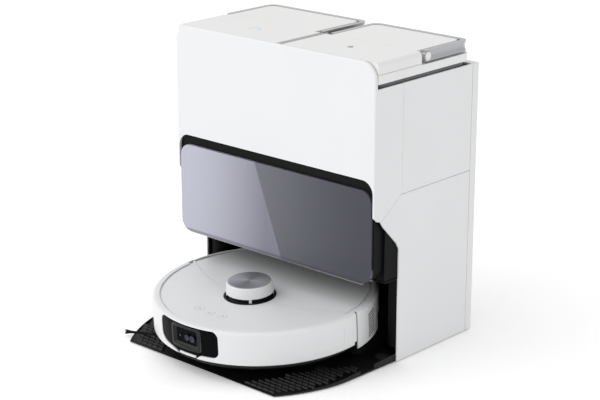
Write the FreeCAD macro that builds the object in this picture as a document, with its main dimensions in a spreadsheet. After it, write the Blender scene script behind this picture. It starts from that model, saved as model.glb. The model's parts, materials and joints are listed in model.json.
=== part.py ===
import FreeCAD, Part

import os
import re

import Sketcher

# Robot vacuum parked in its self-emptying, mop-washing dock.
#
# Frame: +Z up, the front faces -Y, +X is to the right as seen from the front.
# The origin is on the floor, under the middle of the dock and the parked robot.
#
# Two working frames keep the numbers simple. Every dock piece is drawn from the dock's
# rear plane (y = 0, the floor at z = 0). Every robot piece is drawn from the robot's own
# centre, with z = 0 where its wheels touch the ground. The robot stands on the sloping
# ramp, so its frame is pitched nose-down by the ramp's angle.

SIZES = {
    # dock housing
    "dock_width": 409,
    "dock_height": 474,
    "dock_depth": 243,
    "wall": 2.6,
    "front_corner": 26,
    "arch_top": 298,
    "arch_side": 3.4,
    "arch_corner": 20,
    "shell_return": 63,
    "shoulder_z": 244,
    "leg_top_z": 193,
    "leg_depth": 184,
    "slope_depth": 190,
    "side_seam_z": 267,
    "side_drop": 39,
    "rear_wrap": 14,
    "seam": 0.4,
    # ramp and base tray
    "tray_reach": 403,
    "tray_margin": 4.5,
    "tray_front_half": 154,
    "tray_bottom": 1.5,
    "tray_edge": 3.2,
    "ramp_drop": 1.6,
    "rib_count": 11,
    "rib_pitch": 10,
    "rib_inner": 84,
    "rib_outer": 172,
    "rib_front": 384,
    "basin_half": 150,
    "basin_front": 212,
    "basin_rear": 84,
    "basin_floor": 3,
    "basin_corner": 16,
    "roller_radius": 4.5,
    "roller_depth": 196,
    "foot_radius": 11,
    "foot_height": 3,
    "cheek_height": 34,
    "cheek_front": 262,
    # robot bay, dust compartment and its cover
    "bay_ceiling": 134,
    "bay_rear": 66,
    "bay_wall": 2.4,
    "box_rear": 112,
    "cover_low": 137.4,
    "cover_high": 282,
    "cover_margin": 5.8,
    "cover_thick": 6,
    "cover_corner": 20,
    "cover_gap": 0.6,
    "lip_depth": 24,
    "lip_thick": 2.2,
    "bag_half": 84,
    "bag_depth": 78,
    "bag_low": 160,
    "bag_high": 286,
    "motor_radius": 38,
    # water tanks
    "deck_z": 303,
    "deck_thick": 3,
    "tank_front": 240,
    "tank_rear": 22,
    "tank_wall": 2.5,
    "lid_height": 33,
    "tank_split": 12,
    "tank_gap": 12,
    "tank_inset": 4,
    "lid_thick": 4,
    "handle_height": 17,
    "handle_pivot_y": 124,
    "pivot_drop": 10,
    "handle_bar": 9,
    "pin_radius": 3,
    # robot, from its wheels' ground
    "park_gap": 12.5,
    "park_height": 11.8,
    "ramp_angle": 3.1,
    "robot_radius": 175,
    "rim_height": 81.2,
    "shell_wall": 2.4,
    "bumper_low": 28,
    "shell_low": 18,
    "bumper_angle": 188,
    "end_gap": 1.2,
    "flange_width": 5.4,
    "cover_border": 7.6,
    "cover_slope": 4.8,
    "cover_top": 78.4,
    "cover_plate": 2.2,
    "lid_arc_radius": 275.8,
    "lid_arc_y": 232.6,
    "pan_low": 9,
    "pan_inset": 25,
    "skirt_inset": 9,
    "skirt_z": 20,
    "pan_wall": 3,
    "window_angle": 40,
    "window_low": 35,
    "window_high": 77,
    "bezel_angle": 19.4,
    "bezel_proud": 0.8,
    "bezel_low": 38.7,
    "bezel_high": 74.4,
    "lens_radius": 6,
    "turret_y": 34,
    "turret_socket": 40.6,
    "turret_slit": 34.5,
    "turret_cap_low": 84.4,
    "turret_cap_radius": 37,
    "turret_disc_radius": 33.5,
    "turret_top": 102.6,
    "button_ring": 120.5,
    "button_angle": 11.3,
    "button_half": 7,
    "button_gap": 0.4,
    "wheel_radius": 36,
    "wheel_width": 22,
    "wheel_track": 118,
    "wheel_y": 5,
    "caster_inset": 43,
    "caster_radius": 14,
    "caster_width": 12,
    "brush_radius": 17,
    "brush_length": 150,
    "brush_inset": 113,
    "brush_gap": 4,
    "brush_lift": 4,
    "side_brush_x": 103,
    "side_brush_inset": 74,
    "side_arm_x": 97,
    "side_arm_inset": 119,
    "bristle": 84,
    "bristle_angle": 26,
    "vent_angle": 20,
    "vent_count": 8,
    "mop_inset": 23,
    "mop_front": 66,
    "mop_low": 8,
    "mop_cloth": 3.5,
    "mop_plate": 4,
    "running_gap": 0.6,
}

# Places that follow another size, each by a named margin.
FOLLOWS = {
    "side_top_z": "dock_height - side_drop",
    "tray_half": "dock_width / 2 - tray_margin",
    "cover_half": "dock_width / 2 - cover_margin",
    "tank_rim_z": "dock_height - lid_height",
    "handle_low": "dock_height - handle_height",
    "handle_pivot_z": "dock_height - pivot_drop",
    "park_depth": "bay_rear + park_gap + robot_radius",
    "flange_inner": "robot_radius - flange_width",
    "cover_radius": "robot_radius - cover_border",
    "cover_ring": "robot_radius - cover_border - cover_slope",
    "pan_radius": "robot_radius - pan_inset",
    "skirt_radius": "robot_radius - skirt_inset",
    "caster_y": "robot_radius - caster_inset",
    "brush_y": "robot_radius - brush_inset",
    "brush_spacing": "2 * brush_radius + brush_gap",
    "brush_z": "brush_radius + brush_lift",
    "side_brush_y": "robot_radius - side_brush_inset",
    "side_arm_y": "robot_radius - side_arm_inset",
    "mop_rear": "robot_radius - mop_inset",
}

doc = FreeCAD.newDocument("RobotVacuum")
sheet = doc.addObject("Spreadsheet::Sheet", "Sizes")
for row, (alias, number) in enumerate(SIZES.items(), start=1):
    sheet.set(f"A{row}", alias)
    sheet.set(f"B{row}", str(number))
    sheet.setAlias(f"B{row}", alias)
doc.recompute()

WORD = re.compile(r"[a-z][a-z_0-9]*")
PLANES = {"XY": "XY_Plane", "XZ": "XZ_Plane", "YZ": "YZ_Plane"}
NODES = {}


def named(word):
    """One word of an expression: a size on the sheet, a place that follows one, or itself."""
    if word[0] in SIZES:
        return f"Sizes.{word[0]}"
    if word[0] in FOLLOWS:
        return f"({link(FOLLOWS[word[0]])})"
    return word[0]


def link(text):
    """The expression text with every size name pointed at the sheet."""
    return WORD.sub(named, str(text))


def value(text):
    """The present value of an expression."""
    number = sheet.evalExpression(link(text))
    return float(getattr(number, "Value", number))


def bind(item, **sizes):
    for name, text in sizes.items():
        item.setExpression(name.replace("__", "."), link(text))
    return item


def locate(item, x=0, y=0, z=0):
    return bind(item, Placement__Base__x=x, Placement__Base__y=y, Placement__Base__z=z)


# ---------------------------------------------------------------- primitives and booleans


def block(name, xs, ys, zs):
    """A box between two expressions along each axis."""
    item = doc.addObject("Part::Box", name)
    spans = [f"({high}) - ({low})" for low, high in (xs, ys, zs)]
    bind(item, Length=spans[0], Width=spans[1], Height=spans[2])
    return locate(item, xs[0], ys[0], zs[0])


def rod(name, radius, low, high, at=("0", "0"), axis="Z"):
    """A cylinder along an axis, from low to high, at the other two coordinates in XYZ order."""
    item = doc.addObject("Part::Cylinder", name)
    bind(item, Radius=radius, Height=f"({high}) - ({low})")
    if axis == "Z":
        return locate(item, at[0], at[1], low)
    if axis == "X":
        item.Placement.Rotation = FreeCAD.Rotation(FreeCAD.Vector(0, 1, 0), 90)
        return locate(item, low, at[0], at[1])
    item.Placement.Rotation = FreeCAD.Rotation(FreeCAD.Vector(1, 0, 0), -90)
    return locate(item, at[0], low, at[1])


def cone(name, low_radius, high_radius, low, high, at=("0", "0")):
    item = doc.addObject("Part::Cone", name)
    bind(item, Radius1=low_radius, Radius2=high_radius, Height=f"({high}) - ({low})")
    return locate(item, at[0], at[1], low)


def fuse(name, *shapes):
    item = doc.addObject("Part::MultiFuse", name)
    item.Shapes = list(shapes)
    item.Refine = True
    return item


def cut(name, base, *tools):
    item = doc.addObject("Part::Cut", name)
    item.Base = base
    item.Tool = tools[0] if len(tools) == 1 else fuse(f"{name}_tools", *tools)
    item.Refine = True
    return item


def common(name, first, second):
    item = doc.addObject("Part::MultiCommon", name)
    item.Shapes = [first, second]
    item.Refine = True
    return item


def group(name, *shapes):
    """Separate solids kept in one node."""
    item = doc.addObject("Part::Compound", name)
    item.Links = list(shapes)
    return item


def tube(name, outer, inner, low, high, at=("0", "0"), axis="Z"):
    body = rod(f"{name}_outer", outer, low, high, at, axis)
    hole = rod(f"{name}_hole", inner, f"({low}) - 1", f"({high}) + 1", at, axis)
    return cut(name, body, hole)


# ---------------------------------------------------------------- sketched bodies


def plane_of(body, plane):
    return next(item for item in body.Origin.OriginFeatures if item.Role == PLANES[plane])


def sketch_on(body, plane, points, offset="0"):
    """A closed outline on one of the body's planes; each corner is held by two bound sizes."""
    sketch = body.newObject("Sketcher::SketchObject", f"{body.Name}_sketch")
    sketch.AttachmentSupport = [(plane_of(body, plane), "")]
    sketch.MapMode = "FlatFace"
    bind(sketch, AttachmentOffset__Base__z=offset)
    corners = [FreeCAD.Vector(value(x), value(y), 0) for x, y in points]
    count = len(corners)
    for index in range(count):
        sketch.addGeometry(Part.LineSegment(corners[index], corners[(index + 1) % count]))
    for index in range(count):
        sketch.addConstraint(
            Sketcher.Constraint("Coincident", index, 2, (index + 1) % count, 1))
    for index, (x, y) in enumerate(points):
        for kind, text, number in (("X", x, corners[index].x), ("Y", y, corners[index].y)):
            if text == "0":
                zero = Sketcher.Constraint("PointOnObject", index, 1, -2 if kind == "X" else -1)
                sketch.addConstraint(zero)
                continue
            place = sketch.addConstraint(
                Sketcher.Constraint(f"Distance{kind}", -1, 1, index, 1, number))
            sketch.renameConstraint(place, f"{kind.lower()}_{index}")
            sketch.setExpression(f"Constraints.{kind.lower()}_{index}", link(text))
    return sketch


def edges_of(shape, axis, keep):
    """Names of the straight edges along an axis whose midpoint passes a test."""
    names = []
    for index, edge in enumerate(shape.Edges, start=1):
        if edge.Curve.TypeId != "Part::GeomLine":
            continue
        run = edge.Vertexes[1].Point - edge.Vertexes[0].Point
        if abs(getattr(run, axis)) > 0.999 * run.Length and keep(edge.CenterOfMass):
            names.append(f"Edge{index}")
    return names


def round_edges(body, radius, axis, keep=lambda middle: True):
    doc.recompute()
    base = body.Tip
    item = body.newObject("PartDesign::Fillet", f"{body.Name}_round")
    item.Base = (base, edges_of(base.Shape, axis, keep))
    bind(item, Radius=radius)
    body.Tip = item
    return body


def padded(name, plane, points, low, high):
    """An outline pushed along its plane's normal from low to high."""
    body = doc.addObject("PartDesign::Body", name)
    pad = body.newObject("PartDesign::Pad", f"{name}_pad")
    pad.Profile = sketch_on(body, plane, points, low)
    bind(pad, Length=f"({high}) - ({low})")
    body.Tip = pad
    return body


def turned(name, points, angle="360", front=True):
    """An outline of (radius, height) corners turned about Z, centred on the front or rear."""
    body = doc.addObject("PartDesign::Body", name)
    side = "-1 * " if front else ""
    corners = [(f"{side}({radius})" if radius != "0" else "0", z) for radius, z in points]
    turn = body.newObject("PartDesign::Revolution", f"{name}_turn")
    sketch = sketch_on(body, "YZ", corners)
    turn.Profile = sketch
    turn.ReferenceAxis = (sketch, ["V_Axis"])
    turn.Midplane = angle != "360"
    bind(turn, Angle=angle)
    body.Tip = turn
    return body


def rounded(name, xs, ys, zs, radius, axis="Z"):
    """A box whose edges along one axis are rounded."""
    corners = [(xs[0], ys[0]), (xs[1], ys[0]), (xs[1], ys[1]), (xs[0], ys[1])]
    if axis == "Z":
        body = padded(name, "XY", corners, zs[0], zs[1])
    elif axis == "Y":
        corners = [(xs[0], zs[0]), (xs[1], zs[0]), (xs[1], zs[1]), (xs[0], zs[1])]
        body = padded(name, "XZ", corners, f"-1 * ({ys[1]})", f"-1 * ({ys[0]})")
    else:
        corners = [(ys[0], zs[0]), (ys[1], zs[0]), (ys[1], zs[1]), (ys[0], zs[1])]
        body = padded(name, "YZ", corners, xs[0], xs[1])
    return round_edges(body, radius, axis.lower())


# ---------------------------------------------------------------- where the two frames lie

REACH = "(park_depth + (robot_radius + bezel_proud) * cos(ramp_angle) + bezel_high * sin(ramp_angle))"
REAR_Y = f"{REACH} / 2"


def own_node(name, item):
    """A bare primitive already has a place of its own, so a compound carries the frame's."""
    if item.TypeId in ("Part::Box", "Part::Cylinder", "Part::Cone"):
        item.Label = f"{name}_solid"
        item = group(f"{name}_group", item)
    item.Label = name
    return item


def dock_node(name, item):
    NODES[name] = locate(own_node(name, item), 0, REAR_Y, 0)


def robot_node(name, item):
    item = own_node(name, item)
    item.Placement = FreeCAD.Placement(
        FreeCAD.Vector(), FreeCAD.Rotation(FreeCAD.Vector(1, 0, 0), 1))
    bind(item, Placement__Rotation__Angle="ramp_angle")
    NODES[name] = locate(item, 0, f"{REAR_Y} - park_depth", "park_height")

# ---------------------------------------------------------------- base tray

HALF = "dock_width / 2"
INNER = "(dock_width / 2 - wall)"


def ramp_z(y, below="0"):
    """Height of the wheels' path over the ramp, at a distance y behind the front (negative)."""
    return f"(park_height + (({y}) + park_depth) * tan(ramp_angle) - ({below}))"


TRAY_TOP_FRONT = ramp_z("-1 * tray_reach", "ramp_drop")
TRAY_TOP_REAR = ramp_z("-1 * bay_rear", "ramp_drop")


def base_tray():
    side = padded("ramp", "YZ", [
        ("-1 * tray_reach", "tray_bottom"),
        ("-1 * wall - 2 * seam", "tray_bottom"),
        ("-1 * wall - 2 * seam", TRAY_TOP_REAR),
        ("-1 * bay_rear", TRAY_TOP_REAR),
        ("-1 * tray_reach", TRAY_TOP_FRONT),
    ], "-1 * tray_half", "tray_half")
    plan = padded("tray_plan", "XY", [
        (f"-1 * {INNER} + seam", "0"),
        ("-1 * tray_half + seam", "-1 * leg_depth"),
        ("-0.985 * tray_half", "-0.74 * tray_reach"),
        ("-0.935 * tray_half", "-0.9 * tray_reach"),
        ("-1 * tray_front_half", "-1 * tray_reach"),
        ("tray_front_half", "-1 * tray_reach"),
        ("0.935 * tray_half", "-0.9 * tray_reach"),
        ("0.985 * tray_half", "-0.74 * tray_reach"),
        ("tray_half - seam", "-1 * leg_depth"),
        (f"{INNER} - seam", "0"),
    ], "0", "60")
    round_edges(plan, "0.2 * tray_reach", "z", lambda spot: abs(spot.y + 0.9 * value("tray_reach")) < 9)
    ramp = common("ramp_in_plan", side, plan)
    basin = rounded("basin_cut", ("-1 * basin_half", "basin_half"),
                    ("-1 * basin_front", "-1 * basin_rear"), ("basin_floor", "60"), "basin_corner")
    ribs = []
    for side_sign, side_name in ((-1, "left"), (1, "right")):
        low, high = ("rib_inner", "rib_outer") if side_sign > 0 else ("-1 * rib_outer", "-1 * rib_inner")
        for index in range(int(SIZES["rib_count"])):
            front = f"(-1 * rib_front + {index} * rib_pitch)"
            ribs.append(block(f"rib_{side_name}_{index}", (low, high), (front, f"{front} + 4"),
                              ("tray_bottom + 0.5", ramp_z(front, "0.5"))))
    cheeks = []
    for side_sign, side_name in ((-1, "left"), (1, "right")):
        low = "tray_half - 9" if side_sign > 0 else "-1 * tray_half + seam"
        high = "tray_half - seam" if side_sign > 0 else "-1 * tray_half + 9"
        cheeks.append(padded(f"cheek_{side_name}", "YZ", [
            ("-1 * cheek_front", "tray_bottom"),
            ("-1 * leg_depth - seam", "tray_bottom"),
            ("-1 * leg_depth - seam", "cheek_height"),
            ("-1 * leg_depth - 16", "cheek_height - 4"),
            ("-1 * cheek_front", TRAY_TOP_FRONT),
        ], low, high))
    pockets = [rod(f"foot_pocket_{index}", "foot_radius + seam", "0", "foot_height + seam", spot)
               for index, spot in enumerate(FEET)]
    dock_node("base_tray", cut("base_tray", fuse("tray_solid", ramp, *ribs, *cheeks), basin, *pockets))
    dock_node("rubber_feet", group("rubber_feet", *[
        rod(f"foot_{index}", "foot_radius", "0", "foot_height", spot)
        for index, spot in enumerate(FEET)]))


FEET = [("-1 * basin_half - 25", "-24"), ("basin_half + 25", "-24"),
        ("-1 * basin_half - 25", "-1 * leg_depth"), ("basin_half + 25", "-1 * leg_depth"),
        ("-140", "-1 * tray_reach + 120"), ("140", "-1 * tray_reach + 120")]


def wash_parts():
    """A ribbed board and a turning roller in the basin, under the mop."""
    board = rounded("board_plate", ("-1 * basin_half + seam", "basin_half - seam"),
                    ("-1 * roller_depth + roller_radius + 2", "-1 * basin_rear - seam"),
                    ("basin_floor", "basin_floor + 3"), "basin_corner")
    bars = [block(f"board_bar_{index}", ("-1 * basin_half + 20", "basin_half - 20"),
                  (f"-1 * basin_rear - 16 - {index} * 12", f"-1 * basin_rear - 12 - {index} * 12"),
                  ("basin_floor + 2", "basin_floor + 5")) for index in range(7)]
    dock_node("wash_board", fuse("wash_board", board, *bars))
    centre = ("-1 * roller_depth", "basin_floor + roller_radius + 0.5")
    core = rod("roller_core", "roller_radius - 1.5", "-1 * basin_half + 8", "basin_half - 8", centre, "X")
    fins = [rod(f"roller_ring_{index}", "roller_radius", f"-1 * basin_half + 12 + {index} * 20",
                f"-1 * basin_half + 22 + {index} * 20", centre, "X") for index in range(14)]
    dock_node("wash_roller", fuse("wash_roller", core, *fins))


# ---------------------------------------------------------------- dock housing


def front_shell():
    """The white fascia: front plate and two side returns in one moulding, arched over the bay."""
    outer = rounded("fascia_outer", (f"-1 * {HALF}", HALF),
                    ("-1 * dock_depth", "-1 * dock_depth + shell_return"),
                    ("leg_top_z", "dock_height"), "front_corner", "Y")
    core = rounded("fascia_core", (f"-1 * {INNER}", INNER), ("-1 * dock_depth + wall", "0"),
                   ("leg_top_z - 30", "dock_height - wall"), "front_corner - wall", "Y")
    arch = rounded("arch", (f"-1 * {HALF} + arch_side", f"{HALF} - arch_side"),
                   ("-1 * dock_depth - 5", "-1 * dock_depth + 8"), ("0", "arch_top"), "arch_corner", "Y")
    lids = block("lid_room", (f"-1 * {HALF} - 1", f"{HALF} + 1"), ("-1 * dock_depth + wall + 2", "0"),
                 ("side_top_z", "dock_height + 1"))
    slope = padded("fascia_slope", "YZ", [
        ("-1 * dock_depth - 1", "shoulder_z"),
        ("-1 * dock_depth + 15", "shoulder_z - 9"),
        ("-1 * dock_depth + 50", "side_seam_z - 7"),
        ("-1 * dock_depth + shell_return - 1", "side_seam_z"),
        ("-1 * dock_depth + shell_return + 1", "side_seam_z"),
        ("-1 * dock_depth + shell_return + 1", "0"),
        ("-1 * dock_depth - 1", "0"),
    ], f"-1 * {HALF} - 1", f"{HALF} + 1")
    dock_node("front_shell", cut("front_shell", outer, core, arch, lids, slope))


def side_panels():
    for side_sign, side_name in ((-1, "left"), (1, "right")):
        low = f"-1 * {HALF}" if side_sign < 0 else INNER
        high = f"-1 * {INNER}" if side_sign < 0 else HALF
        panel = padded(f"side_panel_{side_name}", "YZ", [
            ("-1 * rear_wrap - seam", "tray_bottom"),
            ("-1 * rear_wrap - seam", "side_seam_z - seam"),
            ("-1 * dock_depth + shell_return - 1", "side_seam_z - seam"),
            ("-1 * dock_depth + 50", "side_seam_z - 7 - seam"),
            ("-1 * dock_depth + 15", "shoulder_z - 9 - seam"),
            ("-1 * slope_depth", "leg_top_z"),
            ("-1 * leg_depth", "leg_top_z - 10"),
            ("-1 * leg_depth", "tray_bottom"),
        ], low, high)
        dock_node(f"side_panel_{side_name}", panel)
        upper = block(f"upper_side_{side_name}", (low, high),
                      ("-1 * dock_depth + shell_return + seam", "-1 * rear_wrap - seam"),
                      ("side_seam_z", "side_top_z"))
        dock_node(f"upper_side_{side_name}", upper)


SCREWS = [("-180", "120"), ("180", "120"), ("-180", "400"), ("180", "400")]


def rear_panel():
    """The rear moulding wraps a little way onto both sides and has the power inlet's pocket."""
    outer = block("rear_outer", (f"-1 * {HALF}", HALF), ("-1 * rear_wrap", "0"),
                  ("tray_bottom", "side_top_z"))
    core = block("rear_core", (f"-1 * {INNER}", INNER), ("-1 * rear_wrap - 1", "-1 * wall"),
                 ("0", "side_top_z - wall"))
    inlet = block("inlet_hole", ("-150 - seam", "-114 + seam"), ("-1 * wall - 1", "1"),
                  ("36 - seam", "62 + seam"))
    grille = [block(f"fan_slot_{index}", ("60", "130"), ("-1 * wall - 1", "1"),
                    (f"150 + {index} * 10", f"154 + {index} * 10")) for index in range(9)]
    pockets = [rod(f"screw_pocket_{index}", "3.5", "-1.6", "1", spot, "Y")
               for index, spot in enumerate(SCREWS)]
    holes = [rod(f"screw_hole_{index}", "1.5", "-1 * wall - 1", "1", spot, "Y")
             for index, spot in enumerate(SCREWS)]
    dock_node("rear_panel", cut("rear_panel", outer, core, inlet, *grille, *pockets, *holes))
    shroud = rounded("inlet_shroud", ("-150", "-114"), ("-30", "0"), ("36", "62"), "4", "Y")
    cavity = rounded("inlet_cavity", ("-147", "-117"), ("-24", "1"), ("39", "59"), "3", "Y")
    pins = [block(f"inlet_pin_{index}", (f"{x}", f"{x} + 2.4"), ("-25", "-8"), ("46", "52"))
            for index, x in enumerate((-140, -127))]
    dock_node("power_inlet", fuse("power_inlet", cut("inlet_cup", shroud, cavity), *pins))


def bay():
    """The black lining of the parking bay: ceiling, rear wall, side walls and rounded columns."""
    half = f"({INNER} - seam)"
    front = "-1 * leg_depth + 2"
    lining = []
    lining.append(block("bay_roof", (f"-1 * {half}", half),
                        ("-1 * dock_depth + lip_depth + 6", "-1 * bay_rear"),
                        ("bay_ceiling", "bay_ceiling + bay_wall")))
    lining.append(block("bay_back", (f"-1 * {half}", half), ("-1 * bay_rear", "-1 * bay_rear + bay_wall"),
                        (f"{TRAY_TOP_REAR} + seam", "bay_ceiling + bay_wall")))
    for side_sign, side_name in ((-1, "left"), (1, "right")):
        low, high = (f"{half} - bay_wall", half)
        if side_sign < 0:
            low, high = f"-1 * {half}", f"-1 * {half} + bay_wall"
        lining.append(block(f"bay_side_{side_name}", (low, high), (front, "-1 * bay_rear"),
                            (ramp_z("-1 * bay_rear"), "bay_ceiling + bay_wall")))
        lining.append(rod(f"bay_column_{side_name}", "9", ramp_z("-1 * bay_rear"), "bay_ceiling + 1",
                          (f"{side_sign} * ({half} - 10)", f"{front} + 10")))
    port = rod("port_hole", "17", "-1 * bay_rear - 5", "-1 * bay_rear + 5", ("118", "52"), "Y")
    dock_node("bay_liner", cut("bay_liner", fuse("bay_walls", *lining), port))
    dock_node("charging_contacts", group("charging_contacts", *[
        rounded(f"contact_{index}", (f"{x}", f"{x} + 26"), ("-1 * bay_rear - 3", "-1 * bay_rear"),
                ("44", "54"), "2", "Y") for index, x in enumerate((-64, 38))]))


def dust_parts():
    """Compartment behind the glossy cover: dust bag on its slide-in collar, and the suction motor."""
    half = f"({INNER} - seam)"
    low, high = "cover_low + cover_gap", "deck_z - deck_thick - seam"
    outer = block("dust_box_outer", (f"-1 * {half}", half),
                  ("-1 * dock_depth + cover_thick + 2 * cover_gap", "-1 * box_rear"), (low, high))
    room = rounded("dust_box_room", (f"-1 * {half} + 2 * wall", f"{half} - 2 * wall"),
                   ("-1 * dock_depth - 5", "-1 * box_rear - wall"),
                   (f"{low} + wall", f"{high} - wall"), "12", "Y")
    duct = rod("bag_duct_hole", "12", "-1 * box_rear - 5", "-1 * box_rear + 5", ("0", "228"), "Y")
    back = "-1 * box_rear - wall"
    rails = [block(f"rail_{index}", (x0, x1), (f"{back} - 8", f"{back} + 1"), ("170", "284"))
             for index, (x0, x1) in enumerate((("-56", "-48.5"), ("48.5", "56")))]
    dock_node("dust_compartment", fuse("dust_compartment", cut("dust_box", outer, room, duct), *rails))

    cover = rounded("cover_plate", ("-1 * cover_half", "cover_half"),
                    ("-1 * dock_depth", "-1 * dock_depth + cover_thick"), ("cover_low", "cover_high"),
                    "cover_corner", "Y")
    dock_node("dust_cover", cover)
    lip = block("cover_lip_flat", ("-1 * cover_half + cover_corner", "cover_half - cover_corner"),
                ("-1 * dock_depth + 5", "-1 * dock_depth + 4 + lip_depth"),
                ("cover_low - lip_thick", "cover_low"))
    dock_node("cover_lip", lip)

    collar = rounded("collar_plate", ("-48", "48"), (f"{back} - 5", f"{back} - 2"),
                     ("176", "280"), "8", "Y")
    sack = rounded("bag_block", ("-1 * bag_half", "bag_half"), (f"{back} - 9 - bag_depth", f"{back} - 9"),
                   ("bag_low", "bag_high"), "26", "Y")
    neck = rod("bag_neck", "16", f"{back} - 10", f"{back} - 4", ("0", "228"), "Y")
    dock_node("dust_bag", fuse("dust_bag", sack, collar, neck))
    motor = rod("motor_can", "motor_radius", "-1 * dock_depth + 40", "-1 * box_rear - wall - 8",
                ("146", "212"), "Y")
    snout = rod("motor_snout", "motor_radius / 2", "-1 * dock_depth + 26", "-1 * dock_depth + 41",
                ("146", "212"), "Y")
    dock_node("suction_motor", fuse("suction_motor", motor, snout))


def service_parts():
    """Machinery between the dust compartment and the rear panel."""
    dock_node("water_pump", fuse("water_pump",
        block("pump_body", ("-170", "-120"), ("-90", "-40"), ("180", "230")),
        rod("pump_motor", "17", "145", "181", ("-145", "-65"))))
    dock_node("dryer_fan", fuse("dryer_fan",
        rod("fan_scroll", "38", "-80", "-40", ("95", "200"), "Y"),
        block("fan_outlet", ("70", "120"), ("-78", "-42"), ("142", "200"))))
    board = block("board", ("-90", "30"), ("-30", "-27"), ("150", "280"))
    chips = [block(f"chip_{index}", (f"{-80 + 35 * index}", f"{-58 + 35 * index}"), ("-36", "-29.5"),
                   ("180", "202")) for index in range(3)]
    dock_node("dock_board", fuse("dock_board", board, *chips))
    dock_node("dust_duct", fuse("dust_duct",
        tube("duct_mouth", "16.6", "12", "-1 * bay_rear - 3", "-1 * bay_rear + 14", ("118", "52"), "Y"),
        block("duct_run", ("104", "132"), ("-1 * bay_rear + 13.5", "-34"), ("38", "130"))))
    dock_node("dock_screws", group("dock_screws", *[
        fuse(f"screw_{index}", rod(f"screw_head_{index}", "3.5", "-1.6", "0", spot, "Y"),
             rod(f"screw_shank_{index}", "1.5", "-1 * wall - 8", "-1.5", spot, "Y"))
        for index, spot in enumerate(SCREWS)]))


# ---------------------------------------------------------------- water tanks


PIVOT = ("-1 * handle_pivot_y", "handle_pivot_z")


def tank(kind, low, high):
    """One lift-out tank: a moulded body, its hinged lid and the bail handle over the rear half."""
    front, rear = "-1 * tank_front + 3", "-1 * tank_rear"
    low_in, high_in = f"({low} + tank_inset)", f"({high} - tank_inset)"
    bottom = "deck_z + seam"
    outer = rounded(f"{kind}_outer", (low_in, high_in), (f"{front} + 3", f"{rear} - 3"),
                    (bottom, "tank_rim_z"), "14")
    room = rounded(f"{kind}_room", (f"{low_in} + tank_wall", f"{high_in} - tank_wall"),
                   (f"{front} + 3 + tank_wall", f"{rear} - 3 - tank_wall"),
                   (f"{bottom} + tank_wall", "tank_rim_z + 5"), "12")
    dock_node(f"{kind}_tank", cut(f"{kind}_tank", outer, room))

    top = block(f"{kind}_lid_top", (low, high), (front, rear), ("tank_rim_z + seam", "dock_height"))
    under = block(f"{kind}_lid_under", (f"{low} + lid_thick", f"{high} - lid_thick"),
                  (f"{front} + lid_thick", f"{rear} - lid_thick"),
                  ("tank_rim_z", "dock_height - lid_thick"))
    step_y = "-1 * handle_pivot_y - handle_bar - 6"
    step = block(f"{kind}_lid_step", (f"{low} - 1", f"{high} + 1"), (step_y, f"{rear} + 1"),
                 ("handle_low - 3", "dock_height + 1"))
    deck = block(f"{kind}_lid_deck", (f"{low} + handle_bar + 2", f"{high} - handle_bar - 2"),
                 (f"{step_y} - 1", f"{rear} - handle_bar - 4"),
                 ("handle_low - lid_thick - 4", "dock_height"))
    deck_room = block(f"{kind}_deck_room", (f"{low} + handle_bar + 5", f"{high} - handle_bar - 5"),
                      (f"{step_y} + 3", f"{rear} - handle_bar - 8"),
                      ("handle_low - lid_thick - 5", "dock_height - lid_thick"))
    floor = block(f"{kind}_lid_floor", (f"{low} + 1", f"{high} - 1"), (f"{step_y} - 1", rear),
                  ("handle_low - 3 - lid_thick", "handle_low - 3"))
    hole = rod(f"{kind}_pin_hole", "pin_radius + 0.05",
               f"{low} + handle_bar + 1", f"{high} - handle_bar - 1", PIVOT, "X")
    floor_ring = cut(f"{kind}_lid_plate", floor, block(
        f"{kind}_floor_room", (f"{low} + handle_bar + 5", f"{high} - handle_bar - 5"),
        (f"{step_y} + 3", f"{rear} - handle_bar - 8"), ("0", "dock_height")))
    island = cut(f"{kind}_lid_island", deck, deck_room, hole)
    lid_shell = cut(f"{kind}_lid_shell", top, under, step)
    dock_node(f"{kind}_lid", fuse(f"{kind}_lid", lid_shell, island, floor_ring))

    bail = block(f"{kind}_bail_outer", (low, high), ("-1 * handle_pivot_y - 6", rear),
                 ("handle_low", "dock_height"))
    room = block(f"{kind}_bail_inner", (f"{low} + handle_bar", f"{high} - handle_bar"),
                 ("-1 * handle_pivot_y - 20", f"{rear} - handle_bar"),
                 ("handle_low - 1", "dock_height + 1"))
    pins = [rod(f"{kind}_pin_{index}", "pin_radius", f"{spot} - 1", f"{spot} + 5", PIVOT, "X")
            for index, spot in enumerate((f"({low} + handle_bar)", f"({high} - handle_bar - 4)"))]
    dock_node(f"{kind}_handle", fuse(f"{kind}_handle", cut(f"{kind}_bail", bail, room), *pins))


def tanks():
    dock_node("tank_deck", fuse("tank_deck",
        block("deck_plate", (f"-1 * {INNER} + seam", f"{INNER} - seam"),
              ("-1 * dock_depth + wall + seam", "-1 * rear_wrap - seam"),
              ("deck_z - deck_thick", "deck_z")),
        block("deck_divider", ("tank_split - 2", "tank_split + 2"),
              ("-1 * dock_depth + wall + 6", "-1 * rear_wrap - 6"), ("deck_z - 1", "side_top_z - 10"))))
    tank("clean", f"-1 * {HALF} + 0.5", "tank_split - tank_gap / 2")
    tank("waste", "tank_split + tank_gap / 2", f"{HALF} - 0.5")


# ---------------------------------------------------------------- robot shell


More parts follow.
